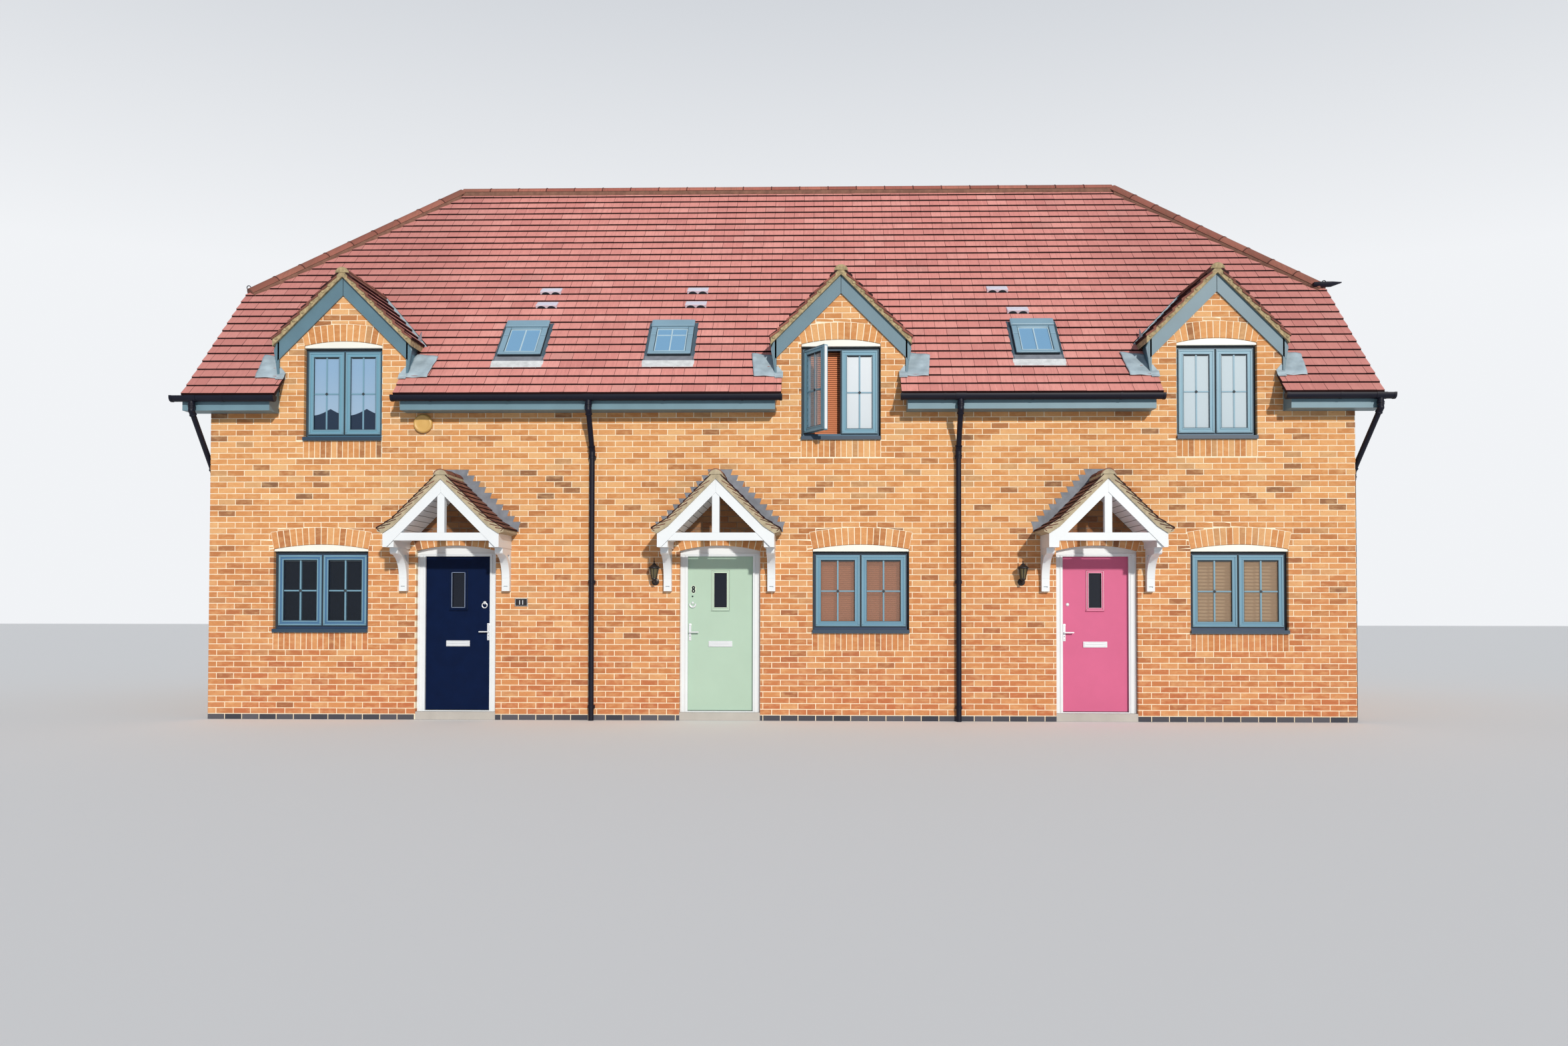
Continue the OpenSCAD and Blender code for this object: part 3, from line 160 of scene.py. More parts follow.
def segment(w, spring, rise, grow=0.0):
    """Radius, height of the centre and half angle of a segmental arch."""
    r = (w * w / 4 + rise * rise) / (2 * rise)
    return r + grow, spring + rise - r, math.asin(w / 2 / r)


def arch(cx, w, foot, spring, rise, grow=0.0):
    """Convex outline of an opening with a segmental head, counter-clockwise."""
    r, cz, half = segment(w, spring, rise, grow)
    head = [half * (1 - k / 5) for k in range(11)]
    return [(cx - w / 2, foot), (cx + w / 2, foot)] + [(cx + r * math.sin(a), cz + r * math.cos(a)) for a in head]


# A plane is an origin, the directions of its two coordinates, and its outward normal
def upright(x, y, along=1, out=-1, z=0):
    return (x, y, z), (along, 0, 0), (0, 0, 1), (0, out, 0)


def sideways(x, out, along=1):
    return (x, 0, 0), (0, along, 0), (0, 0, 1), (out, 0, 0)


def on_slope(x, rear=1):
    return (x, rear * EAVE_Y, EAVE_Z), (rear, 0, 0), (0, rear * C45, C45), (0, -rear * C45, C45)


def side_slope(x, y, z, side, cos, sin, along=1):
    return (x, y, z), (0, along, 0), (-side * cos, 0, sin), (side * sin, 0, cos)


# ---------------------------------------------------------------- meshes
def linked(name, data):
    obj = bpy.data.objects.new(name, data)
    bpy.context.scene.collection.objects.link(obj)
    return obj


class Soup:
    """Polygons gathered into one mesh, each with a tint of three random numbers and a kind."""

    def __init__(self):
        self.v, self.f, self.t = [], [], []

    def face(self, points, tint):
        n = len(self.v)
        self.v += points
        self.t += [tint] * len(points)
        self.f.append(tuple(range(n, n + len(points))))

    def skin(self, k, rows, count, sides):
        """Sides between rows of count points that begin at point k."""
        for i in range(rows - 1):
            for j in range(sides):
                a, b = k + i * count + j, k + i * count + (j + 1) % count
                self.f.append((a, b, b + count, a + count))

    def prism(self, poly, plane, low, high, tint=BARE, bevel=0.0, side_kind=None):
        """A polygon on a plane raised from low to high. high may be a function of the point."""
        o, u, v, w = plane
        at = lambda p, h: tuple(o[c] + u[c] * p[0] + v[c] * p[1] + w[c] * h for c in (0, 1, 2))
        top = high if callable(high) else (lambda p: high)
        n, k = len(poly), len(self.v)
        side = tint if side_kind is None else tint[:3] + (side_kind,)
        inner = poly
        if bevel:
            x0, y0, x1, y1 = box_of(poly)
            cx, cy = sum(p[0] for p in poly) / n, sum(p[1] for p in poly) / n
            s = 1 - bevel / max(0.004, min(x1 - x0, y1 - y0) / 2)
            inner = [(cx + (p[0] - cx) * s, cy + (p[1] - cy) * s) for p in poly]
        self.v += [at(p, low) for p in poly] + [at(p, top(p) - bevel) for p in poly] + [at(p, top(p)) for p in inner]
        self.t += [side] * n + [tint if bevel else side] * n + [tint] * n
        self.f.append(tuple(range(k + 2 * n, k + 3 * n)))
        for i in range(n):
            a, b = k + i, k + (i + 1) % n
            self.f.append((a, b, b + n, a + n))
            if bevel:
                self.f.append((a + n, b + n, b + 2 * n, a + 2 * n))

    def block(self, x0, x1, y0, y1, z0, z1, bevel=0.0):
        self.prism(rect(x0, y0, x1, y1), ((0, 0, 0), (1, 0, 0), (0, 1, 0), (0, 0, 1)), z0, z1, bevel=bevel)
        self.face([(x0, y0, z0), (x0, y1, z0), (x1, y1, z0), (x1, y0, z0)], BARE)

    def tube(self, path, radius, sides, arc=(0, 2 * math.pi), up=(0, 0, 1), tint=BARE, caps=True):
        """A round or part-round bar along a path of points."""
        k = len(self.v)
        closed = abs(arc[1] - arc[0] - 2 * math.pi) < 1e-6
        count = sides if closed else sides + 1
        for i, p in enumerate(path):
            d = (Vector(path[min(i + 1, len(path) - 1)]) - Vector(path[max(i - 1, 0)])).normalized()
            s = d.cross(Vector(up)).normalized()
            t = s.cross(d)
            for j in range(count):
                g = arc[0] + (arc[1] - arc[0]) * j / sides
                self.v.append(tuple(Vector(p) + (s * math.cos(g) + t * math.sin(g)) * radius))
                self.t.append(tint)
        self.skin(k, len(path), count, sides)
        if caps:
            self.f.append(tuple(range(k, k + count)))
            e = k + (len(path) - 1) * count
            self.f.append(tuple(range(e + count - 1, e - 1, -1)))

    def lathe(self, profile, centre, axis=(0, 0, 1), sides=24, turn=0.0):
        """A turned shape from (radius, distance along the axis) pairs."""
        d = Vector(axis).normalized()
        s = d.cross(Vector((1, 0, 0)) if abs(d.x) < 0.9 else Vector((0, 0, 1))).normalized()
        t = d.cross(s)
        k = len(self.v)
        for r, h in profile:
            for j in range(sides):
                g = turn + 2 * math.pi * j / sides
                self.v.append(tuple(Vector(centre) + d * h + (s * math.cos(g) + t * math.sin(g)) * r))
                self.t.append(BARE)
        self.skin(k, len(profile), sides, sides)
        for i in (0, len(profile) - 1):
            if profile[i][0] > 1e-5:
                rim = tuple(range(k + i * sides, k + (i + 1) * sides))
                self.f.append(rim if i else rim[::-1])

    def strip(self, a, b, width, plane, low, high):
        """A flat band of one width from a to b on a plane."""
        dx, dy = b[0] - a[0], b[1] - a[1]
        n = math.hypot(dx, dy)
        ox, oy = -dy / n * width / 2, dx / n * width / 2
        outline = [(a[0] - ox, a[1] - oy), (b[0] - ox, b[1] - oy), (b[0] + ox, b[1] + oy), (a[0] + ox, a[1] + oy)]
        self.prism(outline, plane, low, high)

    def turned(self, matrix, start):
        """Moves everything added since start."""
        self.v[start:] = [tuple(matrix @ Vector(p)) for p in self.v[start:]]

    def build(self, name, material, body="house", slot=None, smooth=False):
        mesh = bpy.data.meshes.new(name)
        mesh.from_pydata(self.v, [], self.f)
        att = mesh.attributes.new("tint", "FLOAT_COLOR", "POINT")
        att.data.foreach_set("color", [c for t in self.t for c in t])
        if smooth:
            mesh.polygons.foreach_set("use_smooth", [True] * len(mesh.polygons))
        mesh.materials.append(material)
        mesh.update()
        obj = linked(name, mesh)
        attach(obj, body)
        return obj


def soups(n):
    return [Soup() for _ in range(n)]


def tint(kind=0.0):
    return (random.random(), random.random(), random.random(), kind)


# ---------------------------------------------------------------- material nodes
def material(name, rough=0.6, metallic=0.0, spec=0.5):
    m = bpy.data.materials.new(name)
    m.use_nodes = True
    bsdf = m.node_tree.nodes["Principled BSDF"]
    for key, value in (("Roughness", rough), ("Metallic", metallic), ("Specular IOR Level", spec)):
        bsdf.inputs[key].default_value = value
    return m, m.node_tree, bsdf


def lin(r, g, b):
    """Linear colour from the 0-255 numbers of a screen colour."""
    f = lambda c: c / 255 / 12.92 if c <= 10.31 else ((c / 255 + 0.055) / 1.055) ** 2.4
    return (f(r), f(g), f(b), 1.0)


def scaled(colour, k):
    return tuple(min(1, c * k) for c in colour[:3]) + (1,)


def grey(v):
    return (v, v, v, 1)


def feed(nt, value, socket):
    """Gives a socket a plain value or the output of another node."""
    if isinstance(value, (int, float, tuple)):
        socket.default_value = value
    else:
        nt.links.new(value, socket)


def node(nt, kind, **inputs):
    n = nt.nodes.new(kind)
    for key, value in inputs.items():
        feed(nt, value, n.inputs[key])
    return n


def position(nt, scale=(1, 1, 1)):
    place = nt.nodes.new("ShaderNodeTexCoord").outputs["Object"]
    return node(nt, "ShaderNodeMapping", Vector=place, Scale=scale).outputs["Vector"]


def coordinates(nt):
    return node(nt, "ShaderNodeSeparateXYZ", Vector=position(nt)).outputs


def noise(nt, scale, detail=3.0, stretch=(1, 1, 1), rough=0.55):
    return node(nt, "ShaderNodeTexNoise", Vector=position(nt, stretch), Scale=scale, Detail=detail,
                Roughness=rough).outputs["Fac"]


def ramp(nt, fac, stops, constant=False):
    n = node(nt, "ShaderNodeValToRGB", Fac=fac)
    r = n.color_ramp
    r.interpolation = "CONSTANT" if constant else "LINEAR"
    while len(r.elements) < len(stops):
        r.elements.new(0.5)
    for e, (at, colour) in zip(r.elements, stops):
        e.position, e.color = at, colour
    return n.outputs["Color"]


def mix(nt, fac, a, b):
    n = nt.nodes.new("ShaderNodeMix")
    n.data_type = "RGBA"
    for value, socket in ((fac, 0), (a, 6), (b, 7)):
        feed(nt, value, n.inputs[socket])
    return n.outputs[2]


def maths(nt, op, a, b=0.5, clamp=False):
    n = nt.nodes.new("ShaderNodeMath")
    n.operation, n.use_clamp = op, clamp
    feed(nt, a, n.inputs[0])
    feed(nt, b, n.inputs[1])
    return n.outputs[0]


def times(nt, a, b, clamp=False):
    return maths(nt, "MULTIPLY", a, b, clamp)


def minus(nt, a, b, clamp=False):
    return maths(nt, "SUBTRACT", a, b, clamp)


def rise(nt, value, start, gain):
    """From 0 to 1 as a value passes its start."""
    return times(nt, minus(nt, value, start, True), gain, True)


def veil(nt, face, spots, start, gain, colour):
    """Another colour where a noise passes its start."""
    return mix(nt, rise(nt, spots, start, gain), face, colour)


def bump(nt, bsdf, height, strength=0.3, distance=0.01):
    n = node(nt, "ShaderNodeBump", Strength=strength, Distance=distance, Height=height)
    feed(nt, n.outputs["Normal"], bsdf.inputs["Normal"])


def tint_of(nt):
    """The three random numbers and the kind of a piece."""
    a = nt.nodes.new("ShaderNodeAttribute")
    a.attribute_name = "tint"
    return node(nt, "ShaderNodeSeparateColor", Color=a.outputs["Color"]).outputs[:3] + [a.outputs["Alpha"]]


# ---------------------------------------------------------------- materials
def plain(name, colour, rough=0.5, metallic=0.0, vary=0.08, scale=3.0, grain=None, spec=0.5):
    """One colour, a little uneven, with an optional grain of a scale, a stretch and a strength."""
    m, nt, bsdf = material(name, rough, metallic, spec)
    stops = [(0.3, scaled(colour, 1 - vary)), (0.7, scaled(colour, 1 + vary))]
    feed(nt, ramp(nt, noise(nt, scale), stops), bsdf.inputs["Base Color"])
    if grain:
        bump(nt, bsdf, noise(nt, grain[0], 4.0, grain[1]), grain[2], 0.002)
    return m


def painted_porch_shade(nt, colour, share):
    """Darker colour on the wall inside the porch gables: painted shade where the porch roof shades it."""
    at = coordinates(nt)
    wall = times(nt, rise(nt, at["Z"], PORCH_DARK[0], 12.0), minus(nt, 0.0, at["Y"], True))
    for dx in DOOR_X:
        aside = maths(nt, "ABSOLUTE", minus(nt, at["X"], dx))
        here = times(nt, rise(nt, minus(nt, PORCH_DARK[1], at["Z"]), aside, 9.0), wall)
        colour = mix(nt, times(nt, here, share), colour, lin(84, 50, 34))
    return colour


def brick_material():
    m, nt, bsdf = material("brick", 0.88, spec=0.25)
    red, green, blue, kind = tint_of(nt)
    face = ramp(nt, red, [
        (0.00, lin(130, 94, 68)), (0.06, lin(172, 115, 72)), (0.16, lin(193, 132, 81)), (0.40, lin(204, 144, 90)),
        (0.70, lin(212, 155, 101)), (0.92, lin(218, 171, 119)), (1.00, lin(177, 133, 92))])
    # Bricks are redder near the ground
    low = minus(nt, 1.0, maths(nt, "DIVIDE", coordinates(nt)["Z"], 2.9), True)
    low = times(nt, low, maths(nt, "ADD", times(nt, green, 0.7), 0.45), True)
    face = mix(nt, times(nt, low, 0.95), face, lin(182, 108, 70))
    face = veil(nt, face, noise(nt, 8.0, 4.0, (1, 1, 2.2)), 0.46, 1.6, lin(225, 183, 132))
    face = veil(nt, face, noise(nt, 30.0, 5.0, (1, 1, 2.5)), 0.55, 1.8, lin(151, 96, 61))
    # Kind 1 is the dark engineering course at the foot
    face = mix(nt, kind, face, ramp(nt, blue, [(0, lin(58, 60, 69)), (1, lin(90, 89, 96))]))
    # Painted shade on the bricks inside the porch gables
    feed(nt, painted_porch_shade(nt, face, 0.70), bsdf.inputs["Base Color"])
    bump(nt, bsdf, noise(nt, 120.0, 4.0), 0.35, 0.003)
    return m


def mortar_material():
    m, nt, bsdf = material("mortar", 0.95, spec=0.1)
    base = ramp(nt, noise(nt, 14.0, 4.0), [(0.3, lin(236, 219, 188)), (0.7, lin(244, 232, 210))])
    # Painted shade on the mortar inside the porch gables
    feed(nt, painted_porch_shade(nt, base, 0.85), bsdf.inputs["Base Color"])
    bump(nt, bsdf, noise(nt, 160.0, 3.0), 0.4, 0.002)
    return m


def sash_material():
    """Blue-grey sashes, bluer downstairs, in a frame given a darker colour as painted shade where it lies back in the
    reveal.
    """
    m, nt, bsdf = material("blue-grey sashes", 0.38)
    at = coordinates(nt)
    upstairs = rise(nt, at["Z"], 2.9, 40.0)
    left = rise(nt, -2.5, at["X"], 40.0)
    sash = mix(nt, upstairs, mix(nt, left, lin(96, 142, 166), lin(66, 108, 146)), lin(104, 153, 174))
    # Painted shade: the darker colour for the frame, which lies back in the reveal
    rim = mix(nt, upstairs, lin(36, 60, 90), lin(62, 102, 128))
    deep = rise(nt, -FRONT - REVEAL + 0.003, maths(nt, "ABSOLUTE", at["Y"]), 400.0)
    feed(nt, mix(nt, deep, sash, rim), bsdf.inputs["Base Color"])
    bump(nt, bsdf, noise(nt, 60, 4.0, (1, 1, 0.2)), 0.10, 0.002)
    return m


def tile_material(name, stops, dirt):
    """Tiles with patches and streaks of dirt, pale streaks, and darker tones towards the row's ends."""
    m, nt, bsdf = material(name, 0.8, spec=0.3)
    red, _, _, kind = tint_of(nt)
    face = ramp(nt, red, stops)
    face = veil(nt, face, noise(nt, 1.6, 4.0, (1, 1.6, 1.6)), 0.50, 2.2, dirt)
    face = veil(nt, face, noise(nt, 1.0, 5.0, (34, 4, 4), 0.65), 0.50, 3.0, dirt)
    face = veil(nt, face, noise(nt, 1.0, 4.0, (21, 3, 3), 0.6), 0.56, 2.6, scaled(stops[-2][1], 1.14))
    face = veil(nt, face, maths(nt, "ABSOLUTE", coordinates(nt)["X"]), 4.2, 0.40, scaled(dirt, 0.78))
    # Kind 1 is the shadow under the tails
    feed(nt, mix(nt, kind, face, lin(44, 17, 19)), bsdf.inputs["Base Color"])
    bump(nt, bsdf, noise(nt, 90.0, 3.0), 0.25, 0.003)
    return m


def glass_material(name, tone, colour, cover, rough=0.05):
    """Sealed pane: what is behind it through a tone, under a painted reflection of the sky and the houses
    opposite. colour and cover are a plain value, or functions of the node tree."""
    m, nt, bsdf = material(name, rough, spec=0.6)
    value = lambda v: v(nt) if callable(v) else v
    feed(nt, value(colour), bsdf.inputs["Base Color"])
    clear = node(nt, "ShaderNodeBsdfTransparent", Color=tone)
    shader = nt.nodes.new("ShaderNodeMixShader")
    for i, part in enumerate((value(cover), clear.outputs[0], bsdf.outputs[0])):
        feed(nt, part, shader.inputs[i])
    feed(nt, shader.outputs[0], nt.nodes["Material Output"].inputs["Surface"])
    return m


def by_house(nt, left, middle, right):
    """One of three colours, by the house the place belongs to."""
    along = maths(nt, "ADD", times(nt, coordinates(nt)["X"], 0.05), 0.5)
    return ramp(nt, along, [(0.0, left), (0.35, middle), (0.65, right)], True)


def by_storey(nt, low, high):
    return mix(nt, maths(nt, "GREATER_THAN", coordinates(nt)["Z"], 3.4), low, high)


def painted_window_reflection(nt):
    at = coordinates(nt)
    low = by_house(nt, lin(44, 52, 64), lin(196, 150, 128), lin(200, 170, 140))
    high = by_house(nt, lin(140, 174, 206), lin(226, 234, 240), lin(198, 214, 222))
    # Painted reflection: the sky pales towards the horizon, and the roofs opposite stand dark at its foot
    fade = minus(nt, 1.0, rise(nt, at["Z"], 3.80, 1.3), True)
    high = mix(nt, times(nt, fade, 0.35), high, lin(190, 204, 214))
    wave = maths(nt, "ABSOLUTE", maths(nt, "SINE", times(nt, maths(nt, "ADD", at["X"], 0.12), 6.6)))
    roofs = maths(nt, "ADD", times(nt, wave, -0.085), 4.03)
    dark = times(nt, maths(nt, "LESS_THAN", at["Z"], roofs), maths(nt, "LESS_THAN", at["X"], -3.0))
    return by_storey(nt, low, mix(nt, dark, high, lin(34, 50, 72)))


def window_cover(nt):
    """How much of the painted reflection shows. The open casement shows little of it."""
    low = by_house(nt, grey(0.30), grey(0.30), grey(0.34))
    swung = maths(nt, "LESS_THAN", coordinates(nt)["Y"], -3.575)
    return by_storey(nt, low, mix(nt, swung, grey(0.90), grey(0.25)))


EVEN, BOARD, LONG = (1, 1, 1), (1, 1, 0.2), (1, 1, 0.1)          # stretches of a grain
BRICK = brick_material()
MORTAR = mortar_material()
TILE = tile_material("roof tile", [
    (0.0, lin(206, 134, 127)), (0.15, lin(216, 142, 134)), (0.8, lin(223, 151, 142)), (0.97, lin(228, 159, 150)),
    (1.0, lin(202, 140, 132))], lin(192, 126, 120))
RIDGE_TILE = tile_material("ridge tile", [
    (0.0, lin(146, 86, 74)), (0.5, lin(168, 100, 88)), (1.0, lin(180, 114, 98))], lin(126, 88, 74))
PORCH_TILE = tile_material("porch tile", [
    (0.0, lin(92, 54, 46)), (0.5, lin(120, 72, 60)), (1.0, lin(146, 98, 80))], lin(84, 66, 58))
BEDDING = plain("bedding mortar", lin(122, 88, 74), 0.95, vary=0.22, scale=14.0, grain=(60, EVEN, 0.5))
VERGE = plain("verge mortar", lin(172, 160, 134), 0.95, vary=0.18, scale=16.0, grain=(70, EVEN, 0.5))
MOSSY = plain("weathered mortar", lin(160, 144, 110), 0.95, vary=0.38, scale=22.0, grain=(70, EVEN, 0.6))
JOINERY = plain("blue-grey joinery", lin(86, 118, 133), 0.45, vary=0.07, grain=(60, BOARD, 0.12))
SASHES = sash_material()
BARS = plain("glazing bars", lin(110, 150, 170), 0.38, vary=0.04)
# The joinery's blue-grey made lighter for the fascias: painted light against the shade under the gutters
FASCIA = plain("blue-grey fascia", lin(102, 134, 148), 0.45, vary=0.06, grain=(60, BOARD, 0.12))
DULL_LEAD = plain("dull lead", lin(122, 128, 138), 0.7, vary=0.2, scale=9.0, grain=(20, EVEN, 0.3))
SILL = plain("dark sill", lin(40, 62, 82), 0.4)
WHITE = plain("white paint", lin(220, 226, 230), 0.35, vary=0.02)
LEAD = plain("lead", lin(160, 178, 188), 0.62, vary=0.16, scale=7.0, grain=(20, EVEN, 0.35))
BLACK = plain("black plastic", lin(17, 19, 34), 0.45, vary=0.1, spec=0.25)
GAP = plain("dark gap", lin(22, 34, 44), 0.9)
COVER = plain("grey-blue metal", lin(128, 160, 178), 0.4, vary=0.05)
EDGING = plain("skylight flashing", lin(78, 98, 112), 0.5, vary=0.1)
RAIL = plain("pale skylight rail", lin(176, 202, 214), 0.4, vary=0.04)
HEAD = plain("white head board", lin(228, 230, 222), 0.4, vary=0.02)
BAND = plain("dark frame band", lin(40, 52, 60), 0.7, vary=0.1)
APRON = plain("pale lead", lin(208, 212, 214), 0.7, vary=0.16, scale=12.0, grain=(30, (1, 0.3, 1), 0.4))
IRON = plain("black iron", lin(38, 36, 38), 0.4, 0.3)
STEEL = plain("polished fittings", lin(230, 234, 238), 0.3, 0.35, vary=0.04)
YELLOW = plain("yellow cover", lin(204, 164, 94), 0.35, vary=0.04)
VENT = plain("pale vent tile", lin(214, 212, 226), 0.85, vary=0.06, scale=20)
CONCRETE = plain("concrete", lin(176, 172, 166), 0.9, grain=(80, EVEN, 0.3))
BOARDS = plain("floor boards", lin(150, 116, 82), 0.6, vary=0.2, scale=4.0)
PLASTER = plain("plaster", lin(226, 222, 214), 0.9, vary=0.03)
GROOVE = plain("soffit groove", lin(96, 98, 92), 0.9)
BLIND = plain("orange blinds", lin(206, 126, 84), 0.7, vary=0.06)
SLATS = plain("wooden slats", lin(244, 214, 172), 0.6, vary=0.12)
NAVY = plain("navy door", (0.0010, 0.0075, 0.038, 1), 0.4, vary=0.10, scale=6.0, grain=(40, LONG, 0.2), spec=0.10)
SAGE = plain("sage door", lin(168, 194, 176), 0.4, vary=0.02, grain=(40, LONG, 0.2))
PINK = plain("pink door", lin(200, 98, 136), 0.4, vary=0.03, grain=(40, LONG, 0.2), spec=0.2)
# Pale beads round the door panes are painted highlights; the middle door's number plate shares the pale colour
PALE_PLATE_AND_BEAD_HIGHLIGHTS = [plain("pale plate and bead highlight " + name, colour, 0.4, vary=0.1) for name, colour in (
    ("navy", lin(128, 142, 168)), ("sage", lin(204, 218, 200)), ("pink", lin(226, 176, 196)))]
# The colours given to the panes below are painted reflections over what is behind them
GLASS = glass_material("sealed pane", (0.84, 0.87, 0.90, 1), painted_window_reflection, window_cover)
ROOF_GLASS = glass_material("roof pane", (0.30, 0.34, 0.40, 1), lin(122, 168, 204), 0.92)
LAMP_GLASS = glass_material("lamp pane", (0.40, 0.38, 0.28, 1), lin(120, 112, 84), 0.55, 0.2)
DOOR_GLASS = glass_material("door pane", (0.10, 0.12, 0.14, 1), lin(14, 20, 34), 0.85, 0.2)

LOOKS = (
    (CONCRETE, "ground_slab"), (BOARDS, "first_floor"), (PLASTER, "party_walls"),
    (MORTAR, "front_wall door_lintels rear_wall gable_walls gablet_cheeks"), (TILE, "front_roof rear_roof half_hips"),
    (MOSSY, "gablet_roofs"), (BEDDING, "ridge_tiles hip_tiles"), (JOINERY, "bargeboards"), (LEAD, "lead_saddles"),
    (FASCIA, "eaves_boxes"), (BLACK, "gutters downpipes"), (SASHES, "window_frames"), (GLASS, "window_glass"),
    (SILL, "window_sills"), (WHITE, "window_heads door_frames rear_doors porch_soffits porch_frames porch_brackets"),
    (VERGE, "porch_roofs"), (DULL_LEAD, "porch_flashings"), (GAP, "skylight_frames"), (ROOF_GLASS, "skylight_glass"),
    (VENT, "roof_vents"), (IRON, "coach_lamps number_plaque"), (YELLOW, "alarm_box"), (NAVY, "left_door"),
    (SAGE, "middle_door"), (PINK, "right_door"), (DOOR_GLASS, "left_door_glass middle_door_glass right_door_glass"),
    (STEEL, "left_door_fittings middle_door_fittings right_door_fittings"))
for look, names in LOOKS:
    for name in names.split():
        NODES[name].data.materials.clear()
        NODES[name].data.materials.append(look)


# ---------------------------------------------------------------- brickwork
def lay(soup, plane, region, holes, odd_start):
    """Stretcher bond over convex regions, cut round convex holes and returned into them."""
    x0, z0, x1, z1 = box_of([p for r in region for p in r])
    for k in range(math.floor(z0 / COURSE + 1e-6), math.ceil(z1 / COURSE)):
        z = k * COURSE
        shift = STRETCHER / 2 if (k + odd_start) % 2 else 0.0
        for j in range(-1, int((x1 - x0) / STRETCHER) + 2):
            a = x0 + j * STRETCHER - shift
            outline = rect(max(a, x0), z, min(a + STRETCHER - JOINT, x1), z + COURSE - JOINT)
            if outline[1][0] - outline[0][0] < 0.02:
                continue
            for r in region:
                whole = intersect(outline, r)
                if len(whole) < 3:
                    continue
                pieces = cut_out([whole], holes)
                cut = abs(sum(area(p) for p in pieces) - area(whole)) > 1e-6
                t = tint(1.0 if k == 0 else 0.0)
                for p in pieces:
                    b = box_of(p)
                    if b[2] - b[0] >= 0.006 and b[3] - b[1] >= 0.015:
                        soup.prism(p, plane, RETURN if cut else -0.001, PROUD, t, BRICK_EDGE)


def voussoirs(soup, plane, cx, w, spring, rise):
    """Soldier bricks round a segmental arch."""
    r, cz, half = segment(w, spring, rise)
    n = max(3, round(2 * half * r / 0.078))
    for i in range(n):
        a0, a1 = (-half + (i + part) * 2 * half / n for part in (0.07, 0.93))
        poly = [(cx + s * math.sin(a), cz + s * math.cos(a))
                for s, a in ((r - 0.002, a0), (r - 0.002, a1), (r + SOLDIER, a1), (r + SOLDIER, a0))]
        soup.prism(poly, plane, RETURN, PROUD, tint(), BRICK_EDGE)


def soldiers(soup, plane, cx, w, top):
    """A row of bricks on end, its top at top."""
    n = round(w / COURSE)
    for i in range(n):
        x = cx - w / 2 + i * w / n
        soup.prism(rect(x + 0.005, top - SOLDIER, x + w / n - 0.005, top), plane, -0.001, PROUD, tint(), BRICK_EDGE)


def eaves_wall(soup, plane):
    """The front or rear wall, seen from outside, with its gablets, windows and doors."""
    top, peak = PLATE - 0.004, GAB_Z - GAB_V
    region = [rect(-ROW - PROUD, 0, ROW + PROUD, top)]
    region += [[(x - GAB_HALF, top), (x + GAB_HALF, top), (x + GAB_HALF, peak - GAB_HALF), (x, peak),
                (x - GAB_HALF, peak - GAB_HALF)] for x in GABLET_X]
    holes = []
    for (w, z, h), places in ((LOW, WINDOW_X), (HIGH, GABLET_X)):
        sill, spring = z - SILL_T, z + h + HEAD_SIDE
        for x in places:
            holes += [arch(x, w - 0.004, sill, spring, HEAD_RISE), arch(x, w, spring, spring, HEAD_RISE, 0.222),
                      rect(x - w / 2 - 0.004, sill - 0.222, x + w / 2 + 0.004, sill + 0.01)]
            voussoirs(soup, plane, x, w, spring, HEAD_RISE)
            soldiers(soup, plane, x, w, sill - 0.005)
    for x in DOOR_X:
        holes += [arch(x, 2 * DOOR_HALF - 0.004, -0.02, DOOR_SPRING, DOOR_RISE),
                  arch(x, 2 * DOOR_HALF, DOOR_SPRING, DOOR_SPRING, DOOR_RISE, 0.222)]
        voussoirs(soup, plane, x, 2 * DOOR_HALF, DOOR_SPRING, DOOR_RISE)
    lay(soup, plane, region, holes, 0)


for name, plane in (("bricks_front", upright(0, FRONT)), ("bricks_rear", upright(0, -FRONT, -1, 1))):
    bricks = Soup()
    eaves_wall(bricks, plane)
    bricks.build(name, BRICK, slot="brick")
GABLE_TOP = 2.160
GABLE = [(FRONT, 0), (-FRONT, 0), (-FRONT, PLATE), (GABLE_TOP, RIDGE - ROOF_V - GABLE_TOP),
         (-GABLE_TOP, RIDGE - ROOF_V - GABLE_TOP), (FRONT, PLATE)]
for name, sign in (("bricks_left", -1), ("bricks_right", 1)):
    bricks = Soup()
    lay(bricks, sideways(sign * ROW, sign, sign), [GABLE], [], 1)
    bricks.build(name, BRICK, slot="brick")


# ---------------------------------------------------------------- roof tiles
GAUGE, TILE_W = 0.1838, 0.300
LAP, TAPER = 0.003, 0.88                       # of a tile: overlap, and share of the thickness lost at its head
TAIL_LINE = 0.060                              # of the gauge


